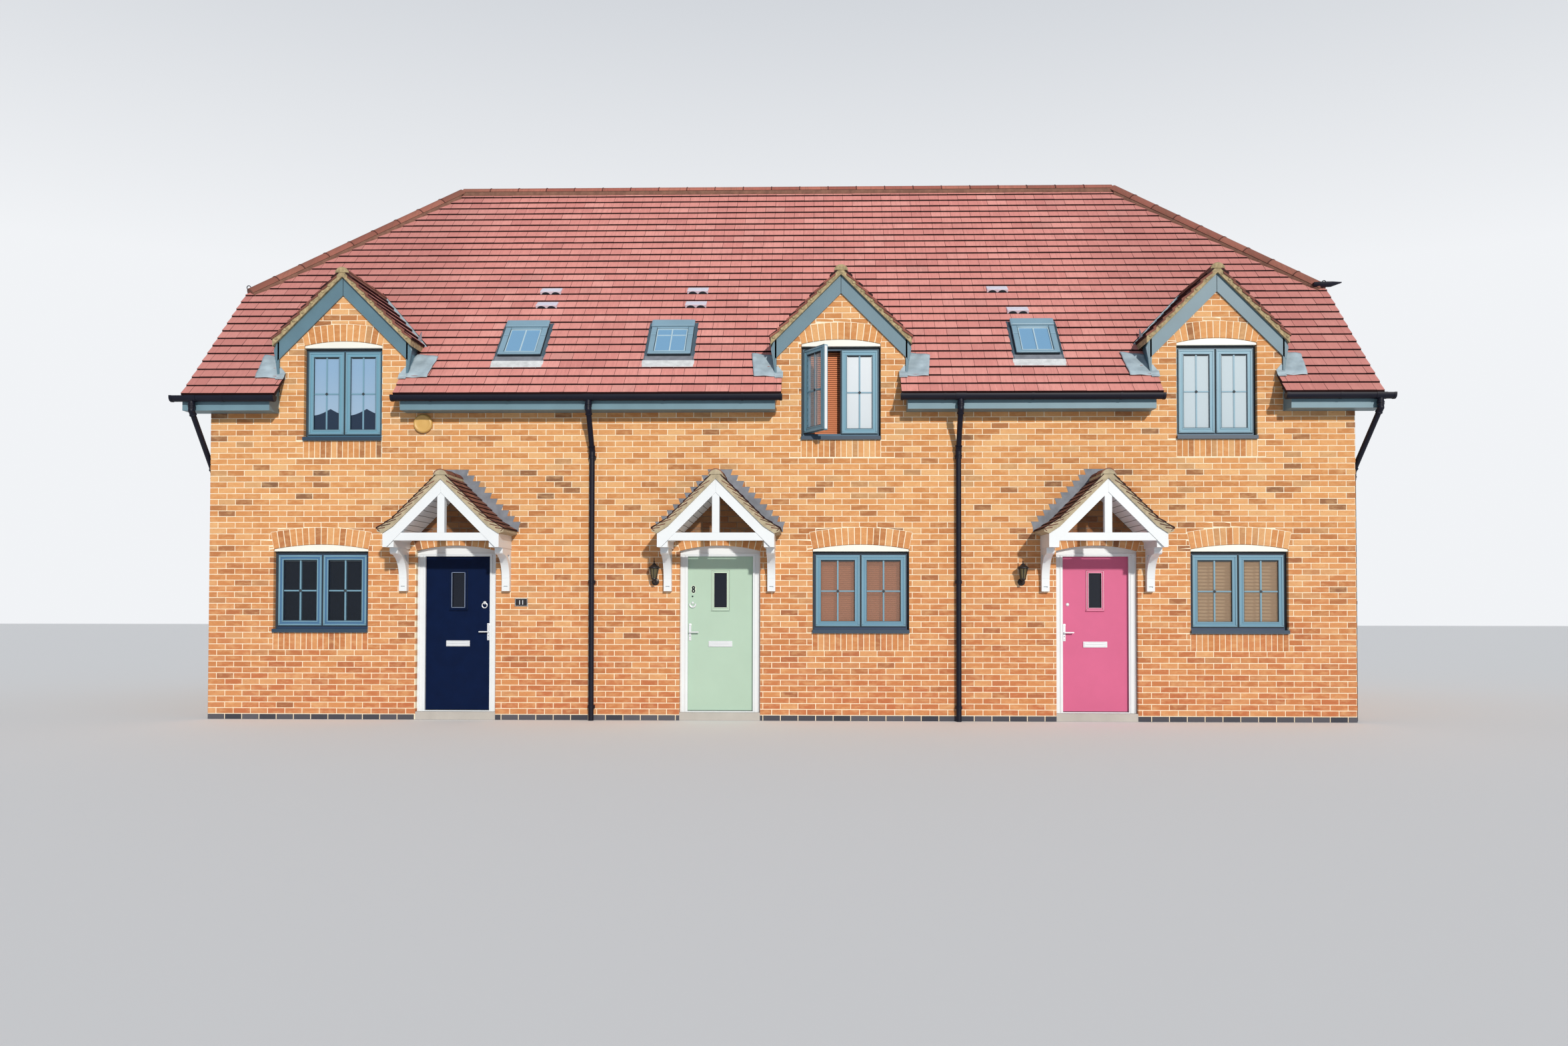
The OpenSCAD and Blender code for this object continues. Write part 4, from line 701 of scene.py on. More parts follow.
def tile_field(soup, plane, region, holes=(), gauge=GAUGE, cover=TILE_W, thick=0.020, halves=2, gap=0.0045):
    """Courses of tiles over a convex region: broken bond, each tile thicker at its tail."""
    x0, y0, x1, y1 = box_of(region)
    width = cover / halves
    rows = math.ceil((y1 - 1e-6) / gauge)
    for k in range(math.floor(y0 / gauge), rows):
        v0, v1 = k * gauge, (k + 1) * gauge
        taper = lambda foot, depth: lambda q: foot + depth * (1 - (q[1] - v0) / (gauge + LAP) * TAPER)
        shift = cover / 2 if k % 2 else 0.0
        for i in range(math.floor((x0 - shift) / cover) - 1, int((x1 - shift) / cover) + 1):
            t = tint()
            lift = random.uniform(-0.0015, 0.0025)
            for h in range(halves):
                a = shift + i * cover + h * width
                outline = rect(a + (gap if h == 0 else gap * 0.35), v0, a + width, v1 + LAP)
                piece = intersect(outline, region)
                for p in cut_out([piece] if len(piece) > 2 else [], holes):
                    if abs(area(p)) >= 2e-4:
                        soup.prism(p, plane, -0.002, taper(0.002, thick + lift), t, side_kind=1.0)
        # The dark line of moss and shadow that gathers under the tails of the next course
        line = intersect(rect(x0, v1 - gauge * TAIL_LINE, x1, v1 + 0.001), region)
        for p in cut_out([line] if len(line) > 2 and k < rows - 1 else [], holes):
            if abs(area(p)) > 1e-5:
                soup.prism(p, plane, 0.0, taper(0.0045, thick), (0.5, 0.5, 0.5, 1.0))


def up(y):
    """Distance up the front slope of a place at depth y."""
    return (y - EAVE_Y) / C45


SLOPE = [(-VERGE_X, -0.01), (VERGE_X, -0.01), (VERGE_X, up(-VERGE_Y)), (RIDGE_X, up(0)), (-RIDGE_X, up(0)),
         (-VERGE_X, up(-VERGE_Y))]
VALLEY = 0.055
roof_holes = []
# Where a gablet leaves the main slope: its brickwork and the valley above, in slope coordinates
for x in GABLET_X:
    edge, wide = GAB_HALF + 0.012, GAB_EDGE + VALLEY
    roof_holes += [rect(x - GAB_HALF + 0.070, -0.05, x + GAB_HALF - 0.070, up(FRONT) + 0.01),
                   rect(x - edge, up(FRONT), x + edge, up(FOOT_Y) + 0.02),
                   [(x - wide, up(FOOT_Y)), (x + wide, up(FOOT_Y)), (x, up(APEX_Y + VALLEY))]]
sky_holes = [rect(x - SKY_W / 2 - wide, SKY_FOOT + v0, x + SKY_W / 2 + wide, SKY_FOOT + v1)
             for wide, v0, v1 in ((0.050, -0.01, SKY_L + 0.030), (0.055, -0.148, -0.005)) for x in SKY_X]
vent_holes = [rect(x - 0.146, k * GAUGE - 0.001, x + 0.146, k * GAUGE + 0.151) for x, k in VENTS]
for name, rear, extras in (("tiles_front", 1, sky_holes + vent_holes), ("tiles_rear", -1, [])):
    tiles = Soup()
    tile_field(tiles, on_slope(0, rear), SLOPE, roof_holes + extras)
    tiles.build(name, TILE, slot="roof_tile")

hips = Soup()
hip_len = HIP_DROP * math.sqrt(1 + 1 / HIP_T ** 2)
hip_cos, hip_sin = (HIP_X - RIDGE_X) / hip_len, HIP_DROP / hip_len
for sign in (-1, 1):
    plane = side_slope(sign * HIP_X, 0, RIDGE - HIP_DROP, sign, hip_cos, hip_sin, sign)
    tile_field(hips, plane, [(-HIP_DROP, -0.01), (HIP_DROP, -0.01), (0, hip_len)])
hips.build("tiles_hips", TILE, slot="roof_tile")

# From each gablet's eave up to its ridge; u runs back from the verge
gab = Soup()
length = GAB_EDGE / C45
region = [(0, -0.012), (FOOT_Y - GAB_FACE - 0.03, -0.012), (APEX_Y - GAB_FACE - 0.03, length), (0, length)]
for rear, gx in GABLETS:
    for side in (-1, 1):
        o = Vector((rear * (gx + side * GAB_EDGE), rear * GAB_FACE, GAB_EAVES))
        u = Vector((0, rear, 0))
        v = Vector((-rear * side * C45, 0, C45))
        w = u.cross(v)
        tile_field(gab, (o, u, v, -w if w.z < 0 else w), region, thick=0.030)
gab.build("tiles_gablets", TILE, slot="roof_tile")


# ---------------------------------------------------------------- lead and returns round the gablets
def sheet(soup, plane, corners, nu, nv, height, thick=0.004):
    """A dressed sheet over a four-cornered patch: corners from the foot, counter-clockwise. height
    gives its lift at each place."""
    o, u, v, w = plane
    k = len(soup.v)
    for layer in (0, 1):
        for j in range(nv + 1):
            for i in range(nu + 1):
                a, b = i / nu, j / nv
                weights = ((1 - a) * (1 - b), a * (1 - b), a * b, (1 - a) * b)
                p = [sum(s * corner[c] for s, corner in zip(weights, corners)) for c in (0, 1)]
                h = height(*p) - layer * thick
                soup.v.append(tuple(o[c] + u[c] * p[0] + v[c] * p[1] + w[c] * h for c in (0, 1, 2)))
                soup.t.append(BARE)
    n, m = nu + 1, (nu + 1) * (nv + 1)
    for j in range(nv):
        for q in range(k + j * n, k + j * n + nu):
            soup.f.append((q, q + 1, q + n + 1, q + n))
            soup.f.append((q + m, q + m + n, q + m + n + 1, q + m + 1))
    edge = [j * n for j in range(nv, 0, -1)] + list(range(nu)) + [j * n + nu for j in range(nv)]
    edge += [nv * n + i for i in range(nu, 0, -1)]
    for a, b in zip(edge, edge[1:] + edge[:1]):
        soup.f.append((k + a, k + a + m, k + b + m, k + b))


def over_tiles(u, v):
    """Lift of lead dressed over the steps of the tiles, with shallow creases."""
    step = (v % GAUGE) / GAUGE
    return 0.037 - 0.012 * step + 0.005 * math.sin(11 * u + 3 * v) + 0.004 * math.sin(31 * u - 17 * v)


LAP_SHAPE = ((0.752, 4.405), (0.838, 4.395), (0.842, 4.53), (0.815, 4.565), (0.762, 4.50))
RETURN_BOARD = ((0.876, 4.856), (0.905, 4.78), (0.876, 4.62), (0.852, 4.44), (0.828, 4.44), (0.832, 4.60),
                (0.832, 4.70))
SADDLE_IN, SADDLE_OUT = 0.836, 1.165           # reach of a saddle from the middle of its gablet
cheek_top = GAB_EAVES - GAB_V + (GAB_EDGE - GAB_HALF)
lead, laps, returns = soups(3)
for rear, flip in BOTH:
    for gx in GABLET_X:
        wall, slope = upright(gx, 0), on_slope(gx)
        for side in (-1, 1):
            beside = sideways(gx, side)
            start = len(lead.v)
            saddle = [(SADDLE_IN, 0.335), (SADDLE_OUT - 0.045, 0.335), (SADDLE_OUT, 0.80), (SADDLE_IN + 0.02, 0.86)]
            if side < 0:
                saddle = [(-saddle[i][0], v) for i, v in ((1, 0.335), (0, 0.335), (3, 0.80), (2, 0.86))]
            sheet(lead, slope, saddle, 12, 18, over_tiles)
            # Upstand against the side of the gablet, over the saddle
            rest = lambda y: RIDGE + y + 0.030
            lead.prism([(FRONT - 0.004, rest(FRONT)), (FOOT_Y + 0.1, rest(FOOT_Y + 0.1)),
                        (FOOT_Y + 0.1, rest(FOOT_Y + 0.1) + 0.10), (FRONT - 0.004, rest(FRONT) + 0.12)],
                       beside, GAB_HALF + 0.001, GAB_HALF + 0.009)
            # Valley strip from the foot of the gablet's tiles up to its ridge
            lead.strip((side * (GAB_EDGE + 0.028), up(FOOT_Y) - 0.05), (side * 0.010, up(APEX_Y) + 0.03), 0.078,
                       slope, 0.001, 0.006)
            lead.turned(flip, start)
            # Lead turned round the corner of the brickwork over the tiles in front of it
            start = len(laps.v)
            laps.prism([(side * x, z) for x, z in LAP_SHAPE][::side], wall, -FRONT + 0.005, -FRONT + 0.011)
            u0, u1 = sorted((side * 0.745, side * 0.85))
            sheet(laps, slope, rect(u0, 0.30, u1, 0.430), 4, 5, over_tiles)
            laps.turned(flip, start)
            # Return board: the foot of the bargeboard carried down to the tiles, and the boarding behind it
            start = len(returns.v)
            returns.prism([(side * x, z) for x, z in RETURN_BOARD][::-side], wall, -FRONT + 0.006, -FRONT + 0.026,
                          bevel=0.003)
            returns.prism([(FRONT - 0.030, 4.44), (FRONT + 0.02, 4.47), (cheek_top - RIDGE, cheek_top),
                           (FRONT - 0.030, cheek_top)], beside, GAB_HALF + 0.001, GAB_HALF + 0.022)
            returns.turned(flip, start)
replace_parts(lead.build("lead_sheets", LEAD, slot="lead", smooth=True), "lead_saddles")
laps.build("lead_laps", LEAD, slot="lead")
returns.build("gablet_returns", JOINERY, slot="joinery")

# ---------------------------------------------------------------- ridge and hip tiles
CAP_R, CAP_RISE = 0.115, 0.055
CAP_ARC = [math.pi / 2 + way * (math.radians(100) / 2 + 0.35) for way in (-1, 1)]


def cap_row(soup, a, b, radius, unit=0.45):
    """Half-round tiles from a to b, with a band of mortar at each joint."""
    a, b = Vector(a), Vector(b)
    n = max(1, round((b - a).length / unit))
    d = (b - a) / n
    back = d.normalized()
    for i in range(n):
        t = tint()
        soup.tube([a + d * i + back * 0.006, a + d * (i + 1) - back * 0.006], radius, 14, CAP_ARC, tint=t)
        if i:
            soup.tube([a + d * i - back * 0.007, a + d * i + back * 0.007], radius + 0.006, 14, CAP_ARC,
                      tint=t[:3] + (0.75,))


caps = Soup()
drop = CAP_R - CAP_RISE
cap_row(caps, (-RIDGE_X, 0, RIDGE - drop), (RIDGE_X, 0, RIDGE - drop), CAP_R + 0.008)
for sx, sy in CORNERS:
    foot = (sx * HIP_X, sy * HIP_DROP, RIDGE - HIP_DROP - drop)
    cap_row(caps, foot, (sx * RIDGE_X, 0, RIDGE - drop), CAP_R + 0.008)
GAB_CAP_Z = GAB_Z - 0.085 + CAP_RISE / 2
for rear, gx in GABLETS:
    ends = [(rear * gx, rear * y, GAB_CAP_Z) for y in (GAB_FACE, APEX_Y + 0.02)]
    cap_row(caps, *ends, 0.091, 0.42)
caps.build("ridge_caps", RIDGE_TILE, slot="ridge_tile")


# ---------------------------------------------------------------- porch tiles
def porch_line(x, down=0.0):
    """Height of the porch roof at a distance from its middle, less down."""
    return PORCH_Z - down - min(x, FLARE_HALF) - max(x - FLARE_HALF, 0) * FLARE_T


PORCH_CAP_Z = PORCH_Z - 0.095 + CAP_RISE / 4
PORCH_COURSE = 0.098
flare_sec = math.sqrt(1 + FLARE_T ** 2)
c, s = 1 / flare_sec, FLARE_T / flare_sec
straight, flare = FLARE_HALF / C45, (PORCH_HALF - FLARE_HALF) * flare_sec
y0, depth = FRONT - PORCH_OUT - 0.010, PORCH_OUT + 0.008
porch = Soup()
for dx in DOOR_X:
    for side in (-1, 1):
        for x, cos, sin, outline, gauge in (
                (PORCH_HALF, c, s, rect(0, -0.01, depth, flare + 0.006), flare / 2 + 1e-4),
                (FLARE_HALF, C45, C45, rect(0, 0, depth, straight), straight / round(straight / PORCH_COURSE))):
            plane = side_slope(dx + side * x, y0, porch_line(x), side, cos, sin)
            tile_field(porch, plane, outline, gauge=gauge, cover=0.165, thick=0.014, halves=1, gap=0.003)
    cap_row(porch, (dx, y0, PORCH_CAP_Z), (dx, FRONT - 0.008, PORCH_CAP_Z), 0.100, 0.33)
porch.build("tiles_porches", PORCH_TILE, slot="porch_tile")

# Tile ends and rounded mortar at the front of the porches, and grooves between the soffit boards
ends, fill, grooves = soups(3)
for dx in DOOR_X:
    face = upright(dx, FRONT - PORCH_OUT)
    for side in (-1, 1):
        for k in range(11):
            x0 = 0.075 + k * 0.068
            x1 = min(x0 + 0.115, PORCH_HALF - 0.004)
            if x1 - x0 < 0.03:
                continue
            quad = [(side * x, porch_line(x, down) + random.uniform(-0.002, 0.002))
                    for x, down in ((x0, 0.062), (x1, 0.014), (x1, 0.004), (x0, 0.052))]
            ends.prism(quad[::side], face, -0.002, 0.005, tint(0.25))
        under = ((dx, 0, PORCH_Z - 0.274), (0, 1, 0), (side * C45, 0, -C45), (-side * C45, 0, -C45))
        for k in range(9):
            v = 0.060 + 0.085 * k
            grooves.prism(rect(FRONT - PORCH_OUT + 0.045, v - 0.003, FRONT - 0.006, v + 0.003), under, -0.0005, 0.0010)
    fill.prism(curve(0, PORCH_CAP_Z, 0.088, 14, 0.08 * math.pi, 0.92 * math.pi), face, -0.010, 0.012, bevel=0.006)
grooves.build("soffit_grooves", GROOVE, slot="white_joinery")
ends.build("porch_verges", PORCH_TILE, slot="porch_tile")
fill.build("porch_ridge_ends", VERGE, slot="porch_tile")

# The same at the front of the gablets, with lumps of bedding and the joint at the bargeboards' apex
stubs, knobs, apex = soups(3)
for rear, gx in GABLETS:
    face = upright(rear * gx, rear * (FRONT - GAB_OVER), rear, -rear)
    for side in (-1, 1):
        for k in range(7):
            x0 = 0.07 + k * (GAB_EDGE - 0.07) / 7
            x1 = min(x0 + 0.155, GAB_EDGE + 0.012)
            quad = [(side * x, GAB_Z - x - down + random.uniform(-0.003, 0.003))
                    for x, down in ((x0, 0.034), (x1, -0.004), (x1, -0.034), (x0, 0.010))]
            stubs.prism(quad[::side], face, -0.010, 0.010 + random.uniform(0, 0.006), tint(0.35))
            x = x0 + random.uniform(0.06, 0.10)
            lump = [(side * a, b) for a, b in curve(x, GAB_Z - x - 0.038, 0.022, 7, tall=0.018)[:-1]]
            knobs.prism(lump[::side], face, -0.006, 0.012, bevel=0.005)
    knobs.prism(curve(0, GAB_CAP_Z, 0.092, 14, 0.05 * math.pi, 0.95 * math.pi), face, -0.010, 0.014, bevel=0.008)
    y = rear * (FRONT - 0.030)
    apex.block(rear * gx - 0.003, rear * gx + 0.003, *sorted((y, y - rear * 0.0015)),
               GAB_Z - GAB_V - 0.232, GAB_Z - GAB_V - 0.008)
stubs.build("gablet_verges", RIDGE_TILE, slot="roof_tile")
knobs.build("gablet_bedding", MOSSY, slot="ridge_tile")
apex.build("bargeboard_joints", GAP, slot="joinery")

# Small scrolled irons at the feet of the hips, and the spout at the right-hand one
irons = Soup()
for sx, sy in CORNERS:
    base = Vector((sx * (HIP_X + 0.01), sy * (HIP_DROP + 0.005), RIDGE - HIP_DROP + 0.03))
    out = Vector((sx * 0.80, sy * 0.6, 0)).normalized()
    path = [base - out * 0.10, base]
    for i in range(9):
        g = math.pi * (1.5 * i / 8 - 0.5)
        r = 0.036 * (1 - i * 0.05)
        path.append(base + out * (0.03 + r * math.cos(g)) + Vector((0, 0, 0.036 + r * math.sin(g))))
    irons.tube(path, 0.006, 6, up=(-out.y, out.x, 0))
k = len(irons.v)
for x, r in ((7.42, 0.040), (7.50, 0.055), (7.66, 0.050), (7.81, 0.010)):
    irons.v += [(x, *p) for p in curve(-2.205, 5.972 + (x - 7.42) * 0.02, r, 8, math.pi, 2 * math.pi, tall=1.3 * r)]
    irons.t += [BARE] * 9
for a in range(k, k + 27, 9):
    irons.f += [(b, b + 9, b + 10, b + 1) for b in range(a, a + 8)] + [(a, a + 8, a + 17, a + 9)]
irons.f.append(tuple(range(k, k + 9)))
irons.build("hip_irons", BLACK, slot="black_metal")


# ---------------------------------------------------------------- window details
def ring(soup, cx, half, z0, z1, grow, wide, y0, y1, bevel=0.0):
    """A ring of one width whose outside is a rectangle grown on all sides."""
    x0, x1, z0, z1 = cx - half - grow, cx + half + grow, z0 - grow, z1 + grow
    for a, b, c, d in ((x0, x1, z0, z0 + wide), (x0, x1, z1 - wide, z1), (x0, x0 + wide, z0 + wide, z1 - wide),
                       (x1 - wide, x1, z0 + wide, z1 - wide)):
        soup.block(a, b, y0, y1, c, d, bevel)


def casement_parts(bars, gaps_and_shadows, w, h, front):
    """Glazing bars with bosses, beads and a moulded ring on a casement standing on z = 0, with dark lines and a painted
    shadow under the top rail.
    """
    half, top = w / 2 - SASH, h - SASH
    y = front + (SASH_T - 0.024) / 2
    z = SASH + (top - SASH) * 0.493
    for face in (y - 0.006, y + 0.024):
        bars.block(-0.010, 0.010, face, face + 0.006, SASH, top)
        bars.block(-half, half, face, face + 0.006, z - 0.009, z + 0.009)
    gaps_and_shadows.prism([(0, -0.022), (0.022, 0), (0, 0.022), (-0.022, 0)], upright(0, y - 0.006, z=z), 0, 0.003)
    ring(bars, 0, w / 2, 0, h, -0.007, 0.020, front - 0.008, front + 0.001, 0.004)
    ring(bars, 0, half, SASH, top, 0.020, 0.014, front - 0.005, front + 0.001, 0.003)
    ring(gaps_and_shadows, 0, half, SASH, top, 0.004, 0.004, front - 0.001, y - 0.001)
    # Painted shadow of the top rail across the top of the glass
    gaps_and_shadows.prism([(-half, top), (-half + 0.014, top - 0.016), (half - 0.014, top - 0.016), (half, top)],
               upright(0, y - 0.0005), 0, 0.001)
    ring(gaps_and_shadows, 0, w / 2, 0, h, 0.003, 0.006, front - 0.0015, front + 0.003)


bars, gaps_and_shadows, seal, heads = soups(4)
face = FRONT + REVEAL
front = face - SASH_OUT
for rear, turn in BOTH:
    for i in range(3):
        for kind, cx in ((LOW, WINDOW_X[i]), (HIGH, GABLET_X[i])):
            w, z0, h = kind
            x0, x1, z1 = cx - w / 2, cx + w / 2, z0 + h
            light = (w - 2 * FRAME_W - MULLION) / 2
            for side in (-1, 1):
                start, mark = len(bars.v), len(gaps_and_shadows.v)
                swung = kind is HIGH and i == 1 and side == -1 and rear > 0
                ease = 0.004 if swung else 0
                tall = h - 2 * FRAME_W - 2 * ease
                casement_parts(bars, gaps_and_shadows, light, tall, front)
                move = Matrix.Translation((cx + side * (light + MULLION) / 2, 0, z0 + FRAME_W + ease))
                if swung:
                    edge = Vector((cx - MULLION / 2 - light, front, 0))
                    move = (Matrix.Translation(edge + Vector((0, -0.004, 0)))
                            @ Matrix.Rotation(-math.radians(CASEMENT_ANGLE), 4, "Z") @ Matrix.Translation(-edge) @ move)
                    # The pale weather seal on the edge of the open casement
                    seal.block(light / 2 - 0.001, light / 2 + 0.003, front + 0.008, front + SASH_T - 0.008,
                               0.012, tall - 0.012)
                    seal.turned(move, 0)
                bars.turned(turn @ move, start)
                gaps_and_shadows.turned(turn @ move, mark)
            # White board over the window, its face just inside the brickwork
            mark = len(heads.v)
            heads.prism(arch(cx, w - 0.012, z1 + 0.004, z1 + HEAD_SIDE, HEAD_RISE, -0.003), upright(0, FRONT),
                        -0.066, -0.008, bevel=0.002)
            heads.block(x0 + 0.006, x1 - 0.006, FRONT + 0.009, FRONT + 0.066, z1 + 0.0038, z1 + 0.0062)
            heads.turned(turn, mark)
            # Dark joint between the frame and the brickwork, and a line down the mullion
            mark = len(gaps_and_shadows.v)
            for a, b, c, d in ((x0, x0 + 0.024, z0, z1), (x1 - 0.024, x1, z0, z1),
                               (x0 + 0.024, x1 - 0.024, z1 - 0.026, z1 + 0.006),
                               (cx - 0.005, cx + 0.005, z0 + FRAME_W, z1 - FRAME_W)):
                gaps_and_shadows.block(a, b, face - 0.003, face + 0.001, c, d)
            gaps_and_shadows.turned(turn, mark)
bars.build("glazing_bars", BARS, slot="joinery")
# Dark lines, with painted shadow under the casements' top rails
gaps_and_shadows.build("joinery_gaps_and_shadows", BAND, slot="joinery")
seal.build("casement_seal", WHITE, slot="white_joinery")
heads.build("head_boards", HEAD, slot="white_joinery")


# ---------------------------------------------------------------- blinds behind the panes
def slat_blind(soup, cx, kind, step, tilt, cover=0.52):
    """Tilted slats down a window, each covering a share of its step."""
    w, z, h = kind
    z1 = z + h - FRAME_W
    z0 = z1 - (h - 2 * FRAME_W)
    half = w / 2 - FRAME_W
    down = (0, math.sin(tilt), 2 * cover * math.cos(tilt))
    for i in range(int((z1 - z0) / step)):
        plane = ((cx, FRONT + 0.20, z1 - (i + 0.5) * step), (1, 0, 0), down, (0, -1, 0))
        soup.prism(rect(-half, -step / 2, half, step / 2), plane, -0.001, 0.001, tint())


blinds, slats = soups(2)
slat_blind(blinds, GABLET_X[1], HIGH, 0.026, 0.5)
slat_blind(blinds, WINDOW_X[1], LOW, 0.026, 0.5)
blinds.build("orange_blinds", BLIND)
slat_blind(slats, WINDOW_X[2], LOW, 0.044, 0.6, 0.36)
slats.build("wooden_blinds", SLATS)

# ---------------------------------------------------------------- skylights and vent tiles
covers, rails, sides, panes, flash, foots, apron = soups(7)


def plates(plane, rows, side=1):
    """Flat pieces of a skylight: soup, reach across and up the slope, low, high and bevel."""
    for soup, u0, u1, v0, v1, low, high, bevel in rows:
        shape = rect(min(side * u0, side * u1), SKY_FOOT + v0, max(side * u0, side * u1), SKY_FOOT + v1)
        soup.prism(shape, plane, low, high, BARE if soup in (sides, panes) else tint(), bevel)


h, foot, top = SKY_W / 2, 0.108, SKY_L
# Dark frame, light covers over it with a joint half-way up, pale rail inside them, flashing outside
SKY_SIDE = (
    (sides, h, 0.207, foot, top, 0.0, 0.050, 0),
    (covers, h + 0.004, 0.212, foot + 0.004, 0.548, 0.050, 0.066, 0.005),
    (covers, h + 0.004, 0.212, 0.553, 0.742, 0.050, 0.066, 0.005),
    (rails, 0.204, 0.191, 0.171, 0.702, 0.044, 0.056, 0.003),
    (flash, h + 0.001, h + 0.056, -0.020, top + 0.034, 0.001, 0.010, 0.002),
    (flash, h + 0.036, h + 0.042, 0.010, top + 0.030, 0.001, 0.020, 0))
SKY_MIDDLE = (
    (sides, -0.206, 0.206, foot, 0.165, 0.0, 0.050, 0), (sides, -0.206, 0.206, 0.716, top, 0.0, 0.050, 0),
    (covers, -h - 0.010, h + 0.010, 0.754, top + 0.010, 0.050, 0.080, 0.008),
    (covers, -0.208, 0.208, 0.710, 0.747, 0.050, 0.062, 0.004),
    (covers, -0.264, 0.264, foot + 0.002, 0.163, 0.0505, 0.064, 0.005),
    (rails, -0.204, 0.204, 0.169, 0.182, 0.044, 0.057, 0.003),
    (rails, -0.204, 0.204, 0.691, 0.704, 0.044, 0.057, 0.003),
    (rails, -0.009, 0.009, 0.183, 0.690, 0.044, 0.055, 0.003))
PLEATS, APRON_W = 34, SKY_W + 0.124
for i, x in enumerate(SKY_X):
    plane = on_slope(x)
    plates(plane, SKY_SIDE, -1)
    plates(plane, SKY_SIDE, 1)
    plates(plane, SKY_MIDDLE)
    if i == 1:
        for side in (-1, 1):
            plates(plane, [(rails, 0.010, 0.190, 0.545, 0.561, 0.044, 0.054, 0.003)], side)
    plates(plane, [(panes, -0.206, 0.206, 0.166, 0.715, 0.030, 0.044, 0)])
    # Plate under the foot, and the pleated apron dressed over the course below
    outline = rect(-h - 0.056, SKY_FOOT + 0.006, h + 0.056, SKY_FOOT + foot + 0.004)
    sheet(foots, plane, outline, 2, 2, lambda u, v: 0.016)
    for j in range(PLEATS):
        u0 = -h - 0.062 + j * APRON_W / PLEATS
        apron.prism(rect(u0, SKY_FOOT - 0.148, u0 + APRON_W / PLEATS - 0.0006, SKY_FOOT + 0.004), plane, 0.002,
                    lambda q: 0.010 + 0.065 * (q[1] - SKY_FOOT + 0.148), tint())
covers.build("skylight_covers", COVER, slot="cover_metal")
rails.build("skylight_rails", RAIL, slot="cover_metal")
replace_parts(sides.build("skylight_sides", GAP, slot="cover_metal"), "skylight_frames")
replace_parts(panes.build("skylight_panes", ROOF_GLASS, slot="pane"), "skylight_glass")
flash.build("skylight_flashings", EDGING, slot="lead")
foots.build("skylight_plates", DULL_LEAD, slot="lead")
apron.build("skylight_aprons", APRON, slot="lead")

hoods, mouths = soups(2)
for x, k in VENTS:
    v = k * GAUGE
    hoods.prism(rect(-0.146, v, 0.146, v + 0.152), on_slope(x), 0.0, lambda q: 0.058 - 0.27 * (q[1] - v), bevel=0.004)
    # Scalloped mouths in the tail of the tile, dark patches of painted shade for the openings
    tail = ((x, EAVE_Y + C45 * v, EAVE_Z + C45 * v), (1, 0, 0), (0, -C45, C45), (0, -C45, -C45))
    for side in (-1, 1):
        mouths.prism(curve(side * 0.070, 0.001, 0.060, 10, 0, math.pi, tall=0.042), tail, -0.002, 0.003)
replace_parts(hoods.build("vent_hoods", VENT, slot="vent_plastic"), "roof_vents")
mouths.build("vent_mouths", GAP, slot="vent_plastic")

# ---------------------------------------------------------------- front doors
DOORS = (("left", NAVY, "navy_paint", -1), ("middle", SAGE, "sage_paint", 1), ("right", PINK, "pink_paint", 1))
LIGHT_W, LIGHT_H, LIGHT_TRIM = 0.158, 0.440, 0.034
LIGHT_Z = LEAF_Z + LEAF_H - 0.228 - LIGHT_H
LETTER_Z, LEVER_Z = LEAF_Z + LEAF_H - 1.142, LEAF_Z + LEAF_H - 0.990
LEVER_R, LEVER_RISE = 0.0165, 0.094            # radius of the lever plate's ends, and their centres' distance


def boss(soup, x, z, profile, sides=20):
    soup.lathe(profile, (x, LEAF_FRONT, z), (0, -1, 0), sides)


def bent_bar(soup, points, clear, radius, sides, caps=False):
    """A bar along points in front of a leaf."""
    soup.tube([(x, LEAF_FRONT - clear, z) for x, z in points], radius, sides, up=(0, 1, 0), caps=caps)


